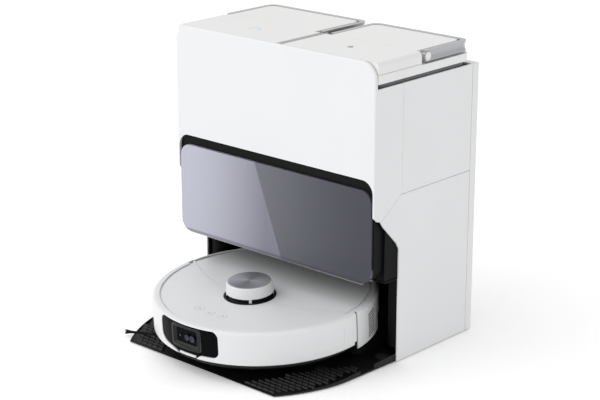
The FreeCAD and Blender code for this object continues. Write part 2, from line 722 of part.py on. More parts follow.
def chassis():
    """The black bottom pan with its bevelled skirt, open for the wheels, caster, brushes and mop."""
    pan = turned("pan", [
        ("0", "pan_low"),
        ("pan_radius", "pan_low"),
        ("skirt_radius", "skirt_z"),
        ("skirt_radius", "bumper_low + 6"),
        ("skirt_radius - pan_wall", "bumper_low + 6"),
        ("skirt_radius - pan_wall", "skirt_z + 1"),
        ("pan_radius - 1", "pan_low + pan_wall"),
        ("0", "pan_low + pan_wall"),
    ])
    wells = [block(f"well_{index}",
                   (f"{centre} - wheel_width / 2 - 4", f"{centre} + wheel_width / 2 + 4"),
                   ("wheel_y - wheel_radius - 6", "wheel_y + wheel_radius + 6"), ("0", "60"))
             for index, centre in enumerate(("-1 * wheel_track", "wheel_track"))]
    mouth = block("brush_mouth", ("-1 * brush_length / 2 - 3", "brush_length / 2 + 3"),
                  ("-1 * brush_y - brush_spacing / 2 - brush_radius - 2",
                   "-1 * brush_y + brush_spacing / 2 + brush_radius + 2"), ("0", "60"))
    caster = rod("caster_hole", "caster_radius + 5 + running_gap", "0", "60", ("0", "-1 * caster_y"))
    arm = rod("arm_hole", "4.05", "0", "60", ("-1 * side_arm_x", "-1 * side_arm_y"))
    mop = common("mop_hole", rod("mop_hole_round", "mop_rear + 2", "0", "skirt_z + 8"),
                 block("mop_hole_half", ("-200", "200"), ("mop_front - 2", "200"), ("0", "60")))
    walls = [block(f"well_wall_{index}", (f"{edge} - 1.2", f"{edge} + 1.2"),
                   ("wheel_y - wheel_radius - 4", "wheel_y + wheel_radius + 4"), ("pan_low + 1", "54"))
             for index, edge in enumerate(("(-1 * wheel_track + wheel_width / 2 + 19)",
                                           "(wheel_track - wheel_width / 2 - 19)"))]
    robot_node("chassis", fuse("chassis", cut("pan_open", pan, *wells, mouth, caster, arm, mop), *walls))


def outer_wall(name, low, flange, angle, front):
    """A stretch of the robot's round side wall with its flange over the top edge."""
    return turned(name, [
        ("robot_radius - shell_wall", low),
        ("robot_radius - 1", low),
        ("robot_radius", f"{low} + 2"),
        ("robot_radius", "rim_height - 4"),
        ("robot_radius - 1.8", "rim_height - 0.6"),
        ("robot_radius - 3.4", "rim_height"),
        (flange, "rim_height"),
        (flange, "rim_height - 1.6"),
        ("robot_radius - shell_wall", "rim_height - 1.6"),
    ], angle, front)


def window_slice(name, inner, outer, low, high, angle):
    return turned(name, [(inner, low), (outer, low), (outer, high), (inner, high)], angle)


def shells():
    bumper = outer_wall("bumper_wall", "bumper_low", "flange_inner", "bumper_angle", True)
    opening = window_slice("window_opening", "robot_radius - 9", "robot_radius + 5",
                           "window_low", "window_high", "window_angle")
    bar = window_slice("bar_opening", "robot_radius - 1.2", "robot_radius + 5", "29", "33", "12.4")
    robot_node("bumper", cut("bumper", bumper, opening, bar))
    rear = outer_wall("rear_wall", "shell_low", "cover_radius + seam",
                      "360 - bumper_angle - 2 * end_gap", False)
    vents = []
    for side_sign, side_name in ((-1, "left"), (1, "right")):
        for index in range(int(SIZES["vent_count"])):
            slot = doc.addObject("Part::Box", f"vent_{side_name}_{index}")
            bind(slot, Length="8", Width="18", Height="2.2")
            turn = SIZES["vent_angle"] if side_sign > 0 else 180 - SIZES["vent_angle"]
            slot.Placement.Rotation = FreeCAD.Rotation(FreeCAD.Vector(0, 0, 1), turn)
            vents.append(locate(
                slot,
                f"(robot_radius - 6) * cos({turn}) + 9 * sin({turn})",
                f"(robot_radius - 6) * sin({turn}) - 9 * cos({turn})",
                f"33 + {index} * 4.7"))
    robot_node("rear_shell", cut("rear_shell", rear, *vents))


def camera():
    window = window_slice("window_skin", "robot_radius - shell_wall", "robot_radius + 0.2",
                          "window_low + 0.2", "window_high - 0.2", "window_angle - 0.2")
    hole = window_slice("bezel_opening", "robot_radius - 9", "robot_radius + 5",
                        "bezel_low - 0.1", "bezel_high + 0.1", "bezel_angle + 0.1")
    robot_node("camera_window", cut("camera_window", window, hole))
    bezel = window_slice("bezel", "robot_radius - 8", "robot_radius + bezel_proud",
                         "bezel_low", "bezel_high", "bezel_angle")
    recess = window_slice("bezel_recess", "robot_radius - 5", "robot_radius + 5",
                          "bezel_low + 5", "bezel_high - 5", "bezel_angle - 4")
    lenses = [rod(f"lens_{index}", "lens_radius", "-1 * robot_radius + 1.5", "-1 * robot_radius + 6",
                  (f"{x}", "(bezel_low + bezel_high) / 2"), "Y") for index, x in enumerate((1, 14))]
    robot_node("camera_module", fuse("camera_module", cut("bezel_cup", bezel, recess), *lenses))
    robot_node("light_bar", window_slice("light_bar", "robot_radius - 1.2", "robot_radius + 0.3",
                                         "29.1", "32.9", "12.2"))


def top_disc(name):
    return turned(name, [
        ("0", "cover_top - cover_plate"),
        ("cover_radius", "cover_top - cover_plate"),
        ("cover_radius", "rim_height - 0.8"),
        ("cover_radius - 2.5", "rim_height - 0.8"),
        ("cover_ring", "cover_top"),
        ("0", "cover_top"),
    ])


def button_spots():
    """Three buttons on an arc round the robot's centre, in front of the turret."""
    spots = []
    for step in (-1, 0, 1):
        angle = f"({step} * button_angle)"
        spots.append((f"button_ring * sin({angle})", f"-1 * button_ring * cos({angle})"))
    return spots


def covers():
    arc = ("0", "lid_arc_y")
    socket = ("0", "-1 * turret_y")
    outside = rod("lid_arc", "lid_arc_radius + seam", "0", "120", arc)
    hole = rod("socket_hole", "turret_socket + seam", "0", "120", socket)
    buttons = [rod(f"button_hole_{index}", "button_half + button_gap", "0", "120", spot)
               for index, spot in enumerate(button_spots())]
    robot_node("front_cover", cut("front_cover", top_disc("front_disc"), outside, hole, *buttons))
    lid_round = rod("lid_round", "lid_arc_radius", "0", "120", arc)
    inside = common("lid_disc", top_disc("rear_disc"), lid_round)
    notch = rod("lid_notch", "turret_socket + seam", "0", "120", socket)
    robot_node("rear_lid", cut("rear_lid", inside, notch))
    for name, spot in zip(("left", "power", "right"), button_spots()):
        cap = rod(f"cap_{name}", "button_half", "cover_top - 3.5", "cover_top + 0.4", spot)
        robot_node(f"button_{name}", cap)


def turret():
    """The laser turret: a fixed cap on four pillars over a spinning scanner."""
    at = ("0", "-1 * turret_y")
    ring = tube("socket_ring", "turret_socket", "turret_slit + 0.8",
                "cover_top - 8", "cover_top + 0.8", at)
    floor = rod("socket_floor", "turret_socket", "cover_top - 10", "cover_top - 8", at)
    axle_hole = rod("socket_axle_hole", "5.05", "0", "120", at)
    robot_node("turret_socket", cut("turret_socket", fuse("socket_cup", ring, floor), axle_hole))
    drum = rod("rotor_drum", "turret_slit - running_gap", "cover_top - 7.4", "turret_cap_low - 0.4", at)
    axle = rod("rotor_axle", "5", "cover_top - 18", "cover_top - 7", at)
    eye = block("rotor_eye", ("-14", "14"), ("-1 * turret_y - 40", "-1 * turret_y - turret_slit + 6"),
                ("cover_top + 1.4", "turret_cap_low + 1"))
    robot_node("turret_rotor", cut("turret_rotor", fuse("rotor", drum, axle), eye))
    cap = cone("cap_cone", "turret_cap_radius", "turret_disc_radius + 1",
               "turret_cap_low", "turret_top - 1", at)
    inset = rod("cap_inset", "turret_disc_radius", "turret_top - 2", "turret_top + 1", at)
    pillars = []
    for index, (x, y) in enumerate(((1, 1), (1, -1), (-1, 1), (-1, -1))):
        reach = "(turret_slit + turret_cap_radius) / 2 * sqrt(0.5)"
        pillars.append(rod(f"pillar_{index}", "1.2", "cover_top + 0.8", "turret_cap_low + 1",
                           (f"{x} * {reach}", f"{y} * {reach} - turret_y")))
    robot_node("turret_cap", fuse("turret_cap", cut("cap_cup", cap, inset), *pillars))
    disc = rod("turret_disc", "turret_disc_radius", "turret_top - 2", "turret_top", at)
    robot_node("turret_disc", disc)


# ---------------------------------------------------------------- robot running gear


def wheels():
    arms = []
    for side_sign, side_name in ((-1, "left"), (1, "right")):
        low = f"({side_sign} * wheel_track - wheel_width / 2)"
        centre = ("wheel_y", "wheel_radius")
        tyre = rod(f"tyre_{side_name}", "wheel_radius", low, f"{low} + wheel_width", centre, "X")
        bore = rod(f"wheel_bore_{side_name}", "5.05", f"{low} - 1", f"{low} + wheel_width + 1",
                   centre, "X")
        rim = tube(f"wheel_dish_{side_name}", "wheel_radius - 6", "12",
                   f"{low} + wheel_width - 3" if side_sign > 0 else f"{low} - 1",
                   f"{low} + wheel_width + 1" if side_sign > 0 else f"{low} + 3", centre, "X")
        robot_node(f"wheel_{side_name}", cut(f"wheel_{side_name}", tyre, bore, rim))
        inner = f"{low} - 16" if side_sign > 0 else f"{low} + wheel_width + 3"
        box = block(f"gearbox_{side_name}", (inner, f"{inner} + 13"), ("wheel_y - 24", "wheel_y + 24"),
                    ("wheel_radius - 14", "wheel_radius + 12"))
        axle = rod(f"axle_{side_name}", "5", f"{low} - 4" if side_sign > 0 else f"{low} + 2",
                   f"{low} + wheel_width - 2" if side_sign > 0 else f"{low} + wheel_width + 4",
                   centre, "X")
        arms.append(fuse(f"arm_{side_name}", box, axle))
    robot_node("wheel_arms", group("wheel_arms", *arms))


def caster():
    spot = ("0", "-1 * caster_y")
    cup = rod("fork_cup", "caster_radius + 5", "caster_radius - 4", "2 * caster_radius + 6", spot)
    slot = block("fork_slot", ("-1 * caster_width / 2 - running_gap", "caster_width / 2 + running_gap"),
                 ("-1 * caster_y - caster_radius - 1", "-1 * caster_y + caster_radius + 1"),
                 ("0", "2 * caster_radius + 1.5"))
    axle = rod("caster_axle", "2", "-1 * caster_width / 2 - 3", "caster_width / 2 + 3",
               ("-1 * caster_y", "caster_radius"), "X")
    robot_node("caster_fork", fuse("caster_fork", cut("fork", cup, slot), axle))
    robot_node("caster_wheel", tube("caster_wheel", "caster_radius", "2.05", "-1 * caster_width / 2",
                                    "caster_width / 2", ("-1 * caster_y", "caster_radius"), "X"))


def brushes():
    for name, offset in (("front", "-1 * brush_spacing / 2"), ("rear", "brush_spacing / 2")):
        centre = (f"-1 * brush_y + {offset}", "brush_z")
        core = rod(f"brush_core_{name}", "brush_radius - 4", "-1 * brush_length / 2", "brush_length / 2",
                   centre, "X")
        pin = rod(f"brush_pin_{name}", "3", "-1 * brush_length / 2 - 2.4",
                  "brush_length / 2 + 2.4", centre, "X")
        fins = []
        for index in range(3):
            fin = doc.addObject("Part::Box", f"brush_fin_{name}_{index}")
            bind(fin, Length="brush_length", Width="2 * brush_radius - 0.3", Height="2")
            turn = 60 * index
            fin.Placement.Rotation = FreeCAD.Rotation(FreeCAD.Vector(1, 0, 0), turn)
            fins.append(locate(fin, "-1 * brush_length / 2",
                               f"{centre[0]} - (brush_radius - 0.15) * cos({turn}) + sin({turn})",
                               f"brush_z - (brush_radius - 0.15) * sin({turn}) - cos({turn})"))
        robot_node(f"brush_{name}", fuse(f"brush_{name}", core, pin, *fins))
    front = "(-1 * brush_y - brush_spacing / 2 - brush_radius)"
    rear = "(-1 * brush_y + brush_spacing / 2 + brush_radius)"
    plate = rounded("frame_plate", ("-1 * brush_length / 2 - 12", "brush_length / 2 + 12"),
                    (f"{front} - 6", f"{rear} + 6"), ("pan_low - 2.4", "pan_low"), "6")
    opening = block("frame_opening", ("-1 * brush_length / 2 - 1", "brush_length / 2 + 1"),
                    (f"{front} - 1", f"{rear} + 1"), ("0", "40"))
    ends = []
    for index, (low, high) in enumerate((("-1 * brush_length / 2 - 3", "-1 * brush_length / 2 - 1"),
                                         ("brush_length / 2 + 1", "brush_length / 2 + 3"))):
        ends.append(block(f"bearing_{index}", (low, high), (f"{front} + 2", f"{rear} - 2"),
                          ("pan_low - 1", "brush_z + 8")))
    holes = [rod(f"bearing_hole_{index}", "3.05", "-1 * brush_length / 2 - 9", "brush_length / 2 + 9",
                 (f"-1 * brush_y + {offset}", "brush_z"), "X")
             for index, offset in enumerate(("-1 * brush_spacing / 2", "brush_spacing / 2"))]
    solid = fuse("frame_solid", cut("frame", plate, opening), *ends)
    robot_node("brush_frame", cut("brush_frame", solid, *holes))


def side_brush():
    """A swing-out arm under the front corner carries the spinning side brush."""
    pivot = ("-1 * side_arm_x", "-1 * side_arm_y")
    tip = ("-1 * side_brush_x", "-1 * side_brush_y")
    eyes = [rod(f"arm_eye_{index}", "7", "5.6", "8.4", spot) for index, spot in enumerate((pivot, tip))]
    bar = doc.addObject("Part::Box", "arm_bar")
    run = "sqrt((side_brush_x - side_arm_x)^2 + (side_brush_y - side_arm_y)^2)"
    bind(bar, Length=run, Width="10", Height="2.8")
    bar.Placement = FreeCAD.Placement(FreeCAD.Vector(), FreeCAD.Rotation(FreeCAD.Vector(0, 0, 1), 1))
    lean = "atan((side_brush_y - side_arm_y) / (side_brush_x - side_arm_x))"
    bind(bar, Placement__Rotation__Angle=f"180 deg + {lean}")
    locate(bar, f"-1 * side_arm_x - 5 * sin({lean})", f"-1 * side_arm_y + 5 * cos({lean})", "5.6")
    post = rod("arm_post", "4", "5.6", "24", pivot)
    bore = rod("arm_bore", "3.05", "0", "30", tip)
    robot_node("side_arm", fuse("side_arm", cut("arm_flat", fuse("arm_solid", *eyes, bar), bore), post))
    hub = rod("side_hub", "7", "0.8", "5.2", tip)
    shaft = rod("side_shaft", "3", "0.8", "8.4", tip)
    tuft = doc.addObject("Part::Box", "side_tuft")
    bind(tuft, Length="2 * bristle", Width="3.4", Height="2")
    tuft.Placement = FreeCAD.Placement(FreeCAD.Vector(), FreeCAD.Rotation(FreeCAD.Vector(0, 0, 1), 1))
    bind(tuft, Placement__Rotation__Angle="bristle_angle")
    locate(tuft, "-1 * side_brush_x - bristle * cos(bristle_angle) + 1.7 * sin(bristle_angle)",
           "-1 * side_brush_y - bristle * sin(bristle_angle) - 1.7 * cos(bristle_angle)", "1")
    robot_node("side_brush", fuse("side_brush", hub, shaft, tuft))


def mop():
    """A D-shaped plate under the rear with the mop cloth on it."""
    def half_disc(name, radius, front, low, high):
        return common(name, rod(f"{name}_round", radius, low, high),
                      block(f"{name}_half", ("-200", "200"), (front, "200"), (low, high)))
    robot_node("mop_cloth", half_disc("mop_cloth", "mop_rear", "mop_front",
                                      "mop_low", "mop_low + mop_cloth"))
    plate = half_disc("plate_flat", "mop_rear - 4", "mop_front + 4",
                      "mop_low + mop_cloth", "mop_low + mop_cloth + mop_plate")
    post = rounded("plate_post", ("-30", "30"), ("mop_front + 20", "mop_front + 50"),
                   ("mop_low + mop_cloth + 1", "mop_low + mop_cloth + mop_plate + 6"), "6")
    robot_node("mop_plate", fuse("mop_plate", plate, post))


def interior():
    bin_box = rounded("bin_box", ("-62", "62"), ("16", "78"), ("32", "cover_top - cover_plate - 2"), "8")
    bin_room = rounded("bin_room", ("-59", "59"), ("19", "75"), ("35", "cover_top"), "6")
    robot_node("dustbin", cut("dustbin", bin_box, bin_room))
    robot_node("battery", rounded("battery", ("-56", "56"), ("mop_front + 20", "robot_radius - 39"),
                                  ("mop_low + mop_cloth + mop_plate + 12", "66"), "5"))
    board_front = "-1 * robot_radius + 29"
    board = block("robot_board_plate", ("-60", "60"), (board_front, "-86"), ("46", "48"))
    chip = block("robot_board_chip", ("-20", "20"), (f"{board_front} + 16", f"{board_front} + 46"),
                 ("47.5", "51"))
    robot_node("robot_board", fuse("robot_board", board, chip))


# ---------------------------------------------------------------- build, check and write

base_tray()
wash_parts()
front_shell()
side_panels()
rear_panel()
bay()
dust_parts()
service_parts()
tanks()
chassis()
shells()
camera()
covers()
turret()
wheels()
caster()
brushes()
side_brush()
mop()
interior()
doc.recompute()

for item in doc.Objects:
    if "Invalid" in item.State or "Error" in item.State:
        raise RuntimeError(f"{item.Label} did not recompute: {item.State}")
os.makedirs("parts", exist_ok=True)
for node_name, item in NODES.items():
    shape = item.Shape
    if shape.isNull() or not shape.isValid() or not shape.Solids:
        raise RuntimeError(f"{node_name} has no valid solid")
for node_name, item in NODES.items():
    item.Shape.exportStep(f"parts/{node_name}.step")
print(f"{len(NODES)} nodes written")
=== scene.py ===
# %% [markdown]
# # A robot vacuum parked in its washing dock
# This lesson builds the looks of a real product around a finished mechanical model.
# The mechanical model gives every place and every size. Blender gives rounded edges,
# seams, fabric and believable plastic. Read the cells in order: each one explains a
# piece, then makes it and prints what came out.

import json
import math
from contextlib import contextmanager

import bmesh
import bpy
from mathutils import Matrix, Vector


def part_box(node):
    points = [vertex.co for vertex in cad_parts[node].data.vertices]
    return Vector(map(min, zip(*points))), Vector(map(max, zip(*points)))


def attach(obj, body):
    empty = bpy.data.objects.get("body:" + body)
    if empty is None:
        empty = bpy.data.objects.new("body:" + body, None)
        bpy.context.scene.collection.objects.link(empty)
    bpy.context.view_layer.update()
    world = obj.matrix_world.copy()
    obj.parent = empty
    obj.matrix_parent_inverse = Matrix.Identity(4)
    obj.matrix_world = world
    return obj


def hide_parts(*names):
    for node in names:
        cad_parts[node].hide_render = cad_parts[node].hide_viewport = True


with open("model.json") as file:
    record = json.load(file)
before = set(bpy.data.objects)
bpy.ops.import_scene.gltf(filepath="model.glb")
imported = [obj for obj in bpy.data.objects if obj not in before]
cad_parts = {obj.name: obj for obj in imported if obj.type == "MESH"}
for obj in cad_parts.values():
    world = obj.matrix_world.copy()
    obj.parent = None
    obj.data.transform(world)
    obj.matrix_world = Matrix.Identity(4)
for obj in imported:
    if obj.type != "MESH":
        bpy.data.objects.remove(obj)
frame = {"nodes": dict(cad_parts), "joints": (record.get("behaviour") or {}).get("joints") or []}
nodes = frame["nodes"]
joints = {joint["name"]: joint for joint in frame["joints"]}
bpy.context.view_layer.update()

# %% [markdown]
# ## Two workshops
# Drawing is easier in round numbers, so every new piece is drawn in millimetres in one
# of two local frames. The dock's frame starts on the floor at its rear plane. The
# robot's frame starts where its wheels touch the ramp, and it leans with the ramp. Both
# are read from the model: the dock from its rear panel, the robot from the axis and the
# place of its spinning scanner.

# %% Find the dock frame and the robot frame
MM = 0.001
SCANNER_Y, SCANNER_Z = -34, 80
rear_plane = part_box("rear_panel")[1].y
DOCK = Matrix.Translation((0, rear_plane, 0)) @ Matrix.Scale(MM, 4)

up = Vector(joints["scanner_spin"]["axis"]).normalized()
right = Vector((1, 0, 0))
back = up.cross(right)
foot = Vector(joints["scanner_spin"]["pos_m"]) - back * SCANNER_Y * MM - up * SCANNER_Z * MM
ROBOT = Matrix((
    (right.x, back.x, up.x, foot.x),
    (right.y, back.y, up.y, foot.y),
    (right.z, back.z, up.z, foot.z),
    (0, 0, 0, 1),
)) @ Matrix.Scale(MM, 4)
print("dock rear plane", round(rear_plane, 4), "robot stands at", foot)


# %% [markdown]
# ## Bench tools
# Blender's operators act on whatever is selected, so a safe habit is to clear the
# selection first, then pick exactly one object. Inside edit mode the same habit holds
# for faces and edges: pick them by where they are, never by their number.

# %% Selecting one piece, and parts of it
def use(piece):
    bpy.ops.object.select_all(action="DESELECT")
    bpy.context.view_layer.objects.active = piece
    piece.select_set(True)


@contextmanager
def editing(piece, kind="FACE", pick="SELECT"):
    """Edit mode, with everything selected unless a choice follows."""
    use(piece)
    bpy.ops.object.mode_set(mode="EDIT")
    bpy.ops.mesh.select_mode(type=kind)
    bpy.ops.mesh.select_all(action=pick)
    yield
    bpy.ops.object.mode_set(mode="OBJECT")


def choose(piece, test, kind="FACE"):
    """Select what passes a test of its middle and its direction: a normal or a run."""
    mesh = bmesh.from_edit_mesh(piece.data)
    if kind == "EDGE":
        for edge in mesh.edges:
            start, end = edge.verts[0].co, edge.verts[1].co
            edge.select_set(test((start + end) / 2, (end - start).normalized()))
    else:
        for face in mesh.faces:
            face.select_set(test(face.calc_center_median(), face.normal))
    mesh.select_flush_mode()
    bmesh.update_edit_mesh(piece.data)


def twin(piece):
    """A second object with a mesh of its own."""
    copy = piece.copy()
    copy.data = piece.data.copy()
    bpy.context.scene.collection.objects.link(copy)
    return copy


def flip_sides(piece):
    """Swap left and right."""
    piece.data.transform(Matrix.Scale(-1, 4, (1, 0, 0)))
    piece.data.flip_normals()


# %% Starting a piece
def settle(piece, name):
    """Give a fresh primitive its name and move its place into its mesh."""
    piece.name = name
    use(piece)
    bpy.ops.object.transform_apply(location=True, rotation=True, scale=True)
    return piece


def block(name, low, high):
    bpy.ops.mesh.primitive_cube_add(size=1)
    piece = bpy.context.object
    low, high = Vector(low), Vector(high)
    piece.location = (low + high) / 2
    piece.scale = high - low
    return settle(piece, name)


def drum(name, radius, low, high, at=(0, 0), sides=96, axis="Z", top=None):
    """A cylinder, or a cone when it has a top radius, along one axis."""
    bpy.ops.mesh.primitive_cone_add(
        vertices=sides, radius1=radius, radius2=radius if top is None else top, depth=high - low)
    piece = bpy.context.object
    middle = (low + high) / 2
    if axis == "X":
        piece.rotation_euler = (0, math.pi / 2, 0)
        piece.location = (middle, at[0], at[1])
    elif axis == "Y":
        piece.rotation_euler = (-math.pi / 2, 0, 0)
        piece.location = (at[0], middle, at[1])
    else:
        piece.location = (at[0], at[1], middle)
    return settle(piece, name)


def outline(name, corners, filled=True):
    """A polygon whose corners are moved from a circle to the places given."""
    bpy.ops.mesh.primitive_circle_add(
        vertices=len(corners), radius=1, fill_type="NGON" if filled else "NOTHING")
    piece = bpy.context.object
    for vertex, corner in zip(piece.data.vertices, corners):
        vertex.co = corner
    return settle(piece, name)


def push(piece, vector):
    """Extrude a flat outline into a solid."""
    with editing(piece):
        bpy.ops.mesh.extrude_region_move(TRANSFORM_OT_translate={"value": vector})
        bpy.ops.mesh.select_all(action="SELECT")
        bpy.ops.mesh.normals_make_consistent(inside=False)
    return piece


def spin(piece, degrees, centre, steps):
    """Sweep an outline about an upright axis, counter-clockwise from above."""
    with editing(piece):
        bpy.ops.mesh.spin(
            steps=steps, angle=-math.radians(degrees), center=centre, axis=(0, 0, 1))
        bpy.ops.mesh.select_all(action="SELECT")
        bpy.ops.mesh.remove_doubles(threshold=0.001)
        bpy.ops.mesh.normals_make_consistent(inside=False)
    return piece


# %% Finishing a piece
def apply_all(piece):
    use(piece)
    for modifier in list(piece.modifiers):
        bpy.ops.object.modifier_apply(modifier=modifier.name)
    return piece


def carve(piece, *tools, operation="DIFFERENCE"):
    """Cut tools out of a piece, or keep only what they share, then throw the tools away."""
    for tool in tools:
        modifier = piece.modifiers.new(tool.name, "BOOLEAN")
        modifier.operation = operation
        modifier.solver = "EXACT"
        modifier.object = tool
    apply_all(piece)
    for tool in tools:
        bpy.data.objects.remove(tool)
    return piece


def merge(piece, *others):
    """Weld solids into one piece."""
    return carve(piece, *others, operation="UNION")


def soften(piece, width, segments=3, angle=30):
    """Round every edge sharper than an angle, as a mould does."""
    modifier = piece.modifiers.new("soft_edges", "BEVEL")
    modifier.width = width
    modifier.segments = segments
    modifier.limit_method = "ANGLE"
    modifier.angle_limit = math.radians(angle)
    modifier.harden_normals = False
    return apply_all(piece)


def round_edges(piece, radius, test, segments=8):
    """Give the edges that pass a test a large radius."""
    with editing(piece, "EDGE", "DESELECT"):
        choose(piece, test, "EDGE")
        bpy.ops.mesh.bevel(offset=radius, offset_type="OFFSET", segments=segments,
                           profile=0.5, clamp_overlap=True)
    return piece


def inset(piece, test, *steps):
    """Draw chosen faces in, once for every (thickness, depth)."""
    with editing(piece, pick="DESELECT"):
        choose(piece, test)
        for thickness, depth in steps:
            bpy.ops.mesh.inset(thickness=thickness, depth=depth, use_even_offset=True)


def slice_at(piece, heights):
    """Cut a ring of new edges across a piece at every height."""
    with editing(piece):
        for height in heights:
            bpy.ops.mesh.select_all(action="SELECT")
            bpy.ops.mesh.bisect(plane_co=(0, 0, height), plane_no=(0, 0, 1))


def along(axis):
    """A test for edges that run along X, Y or Z."""
    index = "XYZ".index(axis)
    return lambda middle, run: abs(run[index]) > 0.999


def shade(piece, angle=32):
    """Smooth shading that lets large flat faces stay flat beside small rounded ones."""
    use(piece)
    bpy.ops.object.shade_smooth_by_angle(angle=math.radians(angle))
    modifier = piece.modifiers.new("even_shading", "WEIGHTED_NORMAL")
    modifier.keep_sharp = True
    modifier.weight = 100
    return apply_all(piece)


def fit(piece, place, body, material, stands_for=(), angle=32):
    """Put a finished piece on the object: place, body, material and what it stands for.

    The slot has the material's own name.
    """
    piece.data.transform(place)
    piece.data.update()
    shade(piece, angle)
    piece.data.materials.clear()
    piece.data.materials.append(material)
    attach(piece, body)
    if stands_for:
        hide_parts(*stands_for)
    print(f"{piece.name}: {len(piece.data.polygons)} faces, rides on {body}")
    return piece


# %% [markdown]
# ## Shader arithmetic
# A procedural material is arithmetic on coordinates and noise. Wiring Math nodes by hand
# is slow to read, so a small class wraps a socket and lets plain Python operators add
# the nodes: `bumps * 0.3 + 0.5` reads as what it does.

# %% Wires that understand + - *
class Wire:
    def __init__(self, paint, socket):
        self.paint = paint
        self.socket = socket

    def maths(self, operation, *values):
        return self.paint.add("ShaderNodeMath", {"operation": operation}, *values)

    def __add__(self, other):
        return self.maths("ADD", self, other)

    def __radd__(self, other):
        return self.maths("ADD", other, self)

    def __sub__(self, other):
        return self.maths("SUBTRACT", self, other)

    def __rsub__(self, other):
        return self.maths("SUBTRACT", other, self)

    def __mul__(self, other):
        return self.maths("MULTIPLY", self, other)

    def __rmul__(self, other):
        return self.maths("MULTIPLY", other, self)

    def power(self, other):
        return self.maths("POWER", self, other)

    def wave(self):
        return self.maths("SINE", self)

    def smooth(self, low, high):
        """0 below low, 1 above high, with a soft step between."""
        return self.paint.add(
            "ShaderNodeMapRange", {"interpolation_type": "SMOOTHSTEP"},
            **{"Value": self, "From Min": low, "From Max": high})


# %% A paint pot: one material and its nodes
class Paint:
    def __init__(self, name):
        self.material = bpy.data.materials.new(name)
        self.material.use_nodes = True
        self.tree = self.material.node_tree
        self.tree.nodes.clear()
        self.output = self.tree.nodes.new("ShaderNodeOutputMaterial")
        self.shader = self.tree.nodes.new("ShaderNodeBsdfPrincipled")
        self.tree.links.new(self.shader.outputs[0], self.output.inputs[0])
        self.place = self.add("ShaderNodeTexCoord", {}, out="Object")

    def connect(self, value, socket):
        if isinstance(value, Wire):
            self.tree.links.new(value.socket, socket)
        else:
            socket.default_value = value

    def add(self, kind, settings, *values, out=0, **sockets):
        """One node: its settings first, then its sockets in order or by name."""
        node = self.tree.nodes.new(kind)
        for name, setting in settings.items():
            setattr(node, name, setting)
        for index, value in enumerate(values):
            self.connect(value, node.inputs[index])
        for name, value in sockets.items():
            self.connect(value, node.inputs[name])
        return Wire(self, node.outputs[out])

    def axes(self, source=None):
        """X, Y and Z of a point in metres, each as a wire."""
        node = self.tree.nodes.new("ShaderNodeSeparateXYZ")
        self.connect(source or self.place, node.inputs[0])
        return [Wire(self, output) for output in node.outputs]

    def noise(self, scale, detail=3, roughness=0.5, stretch=None):
        vector = self.place
        if stretch:
            vector = self.add("ShaderNodeMapping", {}, Vector=self.place, Scale=stretch)
        return self.add("ShaderNodeTexNoise", {}, Vector=vector, Scale=scale, Detail=detail,
                        Roughness=roughness)

    def blend(self, factor, first, second):
        """Mix two colours."""
        node = self.tree.nodes.new("ShaderNodeMix")
        node.data_type = "RGBA"
        for value, index in ((factor, 0), (first, 6), (second, 7)):
            self.connect(value, node.inputs[index])
        return Wire(self, node.outputs[2])

    def bump(self, height, strength, distance):
        return self.add("ShaderNodeBump", {}, Height=height, Strength=strength, Distance=distance)

    def finish(self, **sockets):
        for name, value in sockets.items():
            self.connect(value, self.shader.inputs[name.replace("_", " ")])
        return self.material


def tint(tone, factor=1, lift=0):
    """A colour with its alpha, made darker or lighter by a factor."""
    return tuple(part * factor + lift for part in tone) + (1,)


def grey(level):
    return tint((level, level, level))


print("shader tools ready")


# %% [markdown]
# ## Camera, lights and floor
# The camera stands to the front right, a little above, with a long lens, so upright
# edges stay almost parallel. White objects on a pale floor need large soft lights: one
# box from the front left, one from above for the lids, and a very wide window light
# from the same side as the front box, so the right side stays a shade darker.

# %% Aim the camera
def aimed(place, target):
    """A turn that looks from one place at another with the horizon level."""
    return (Vector(target) - Vector(place)).to_track_quat("-Z", "Y").to_euler()


def hang(name, data, place, turn):
    """Put a camera or a light into the scene."""
    thing = bpy.data.objects.new(name, data)
    bpy.context.scene.collection.objects.link(thing)
    thing.location = place
    thing.rotation_euler = turn
    return thing


YAW, PITCH = math.radians(42.41), math.radians(17.76)
lens = bpy.data.cameras.new("product_camera")
lens.lens = 101.59
lens.sensor_width = 36
lens.clip_end = 50
camera = hang("product_camera", lens, DOCK @ Vector((1694.32, -2032.99, 1018.07)),
              (math.pi / 2 - PITCH, 0, YAW))
bpy.context.scene.camera = camera
print("camera at", camera.location)


# %% Soft boxes
def soft_box(name, place, width, power):
    light = bpy.data.lights.new(name, "AREA")
    light.shape = "RECTANGLE"
    light.size = light.size_y = width
    light.energy = power
    hang(name, light, place, aimed(place, (0, 0, 0.2)))


soft_box("front_left_box", (-2.0, -2.6, 1.6), 1.6, 5)
soft_box("top_box", (0.1, -0.4, 2.6), 1.8, 2)

sky = bpy.data.lights.new("window_light", "SUN")
sky.energy = 0.95
sky.angle = math.radians(75)
hang("window_light", sky, (0, 0, 0), aimed((-0.5, -0.62, 0.62), (0, 0, 0)))

world = bpy.data.worlds.new("white_room")
world.use_nodes = True
backdrop = world.node_tree.nodes["Background"]
backdrop.inputs[0].default_value = (1, 1, 1, 1)
backdrop.inputs[1].default_value = 0.8
bpy.context.scene.world = world
bpy.context.scene.view_settings.view_transform = "Standard"
print("two soft boxes, a window light and a white room")


# %% [markdown]
# ## The floor
# A plain pale sheet far wider than the object. Its edge never shows, and its slight
# unevenness keeps the contact shadows from looking painted.

# %% A pale floor
def floor_finish():
    paint = Paint("pale_floor")
    cloud = paint.noise(3, 2)
    tone = paint.blend(cloud, grey(0.95), grey(0.97))
    return paint.finish(Base_Color=tone, Roughness=0.75 + cloud * 0.1,
                        Emission_Color=(1, 1, 1, 1), Emission_Strength=0.12)


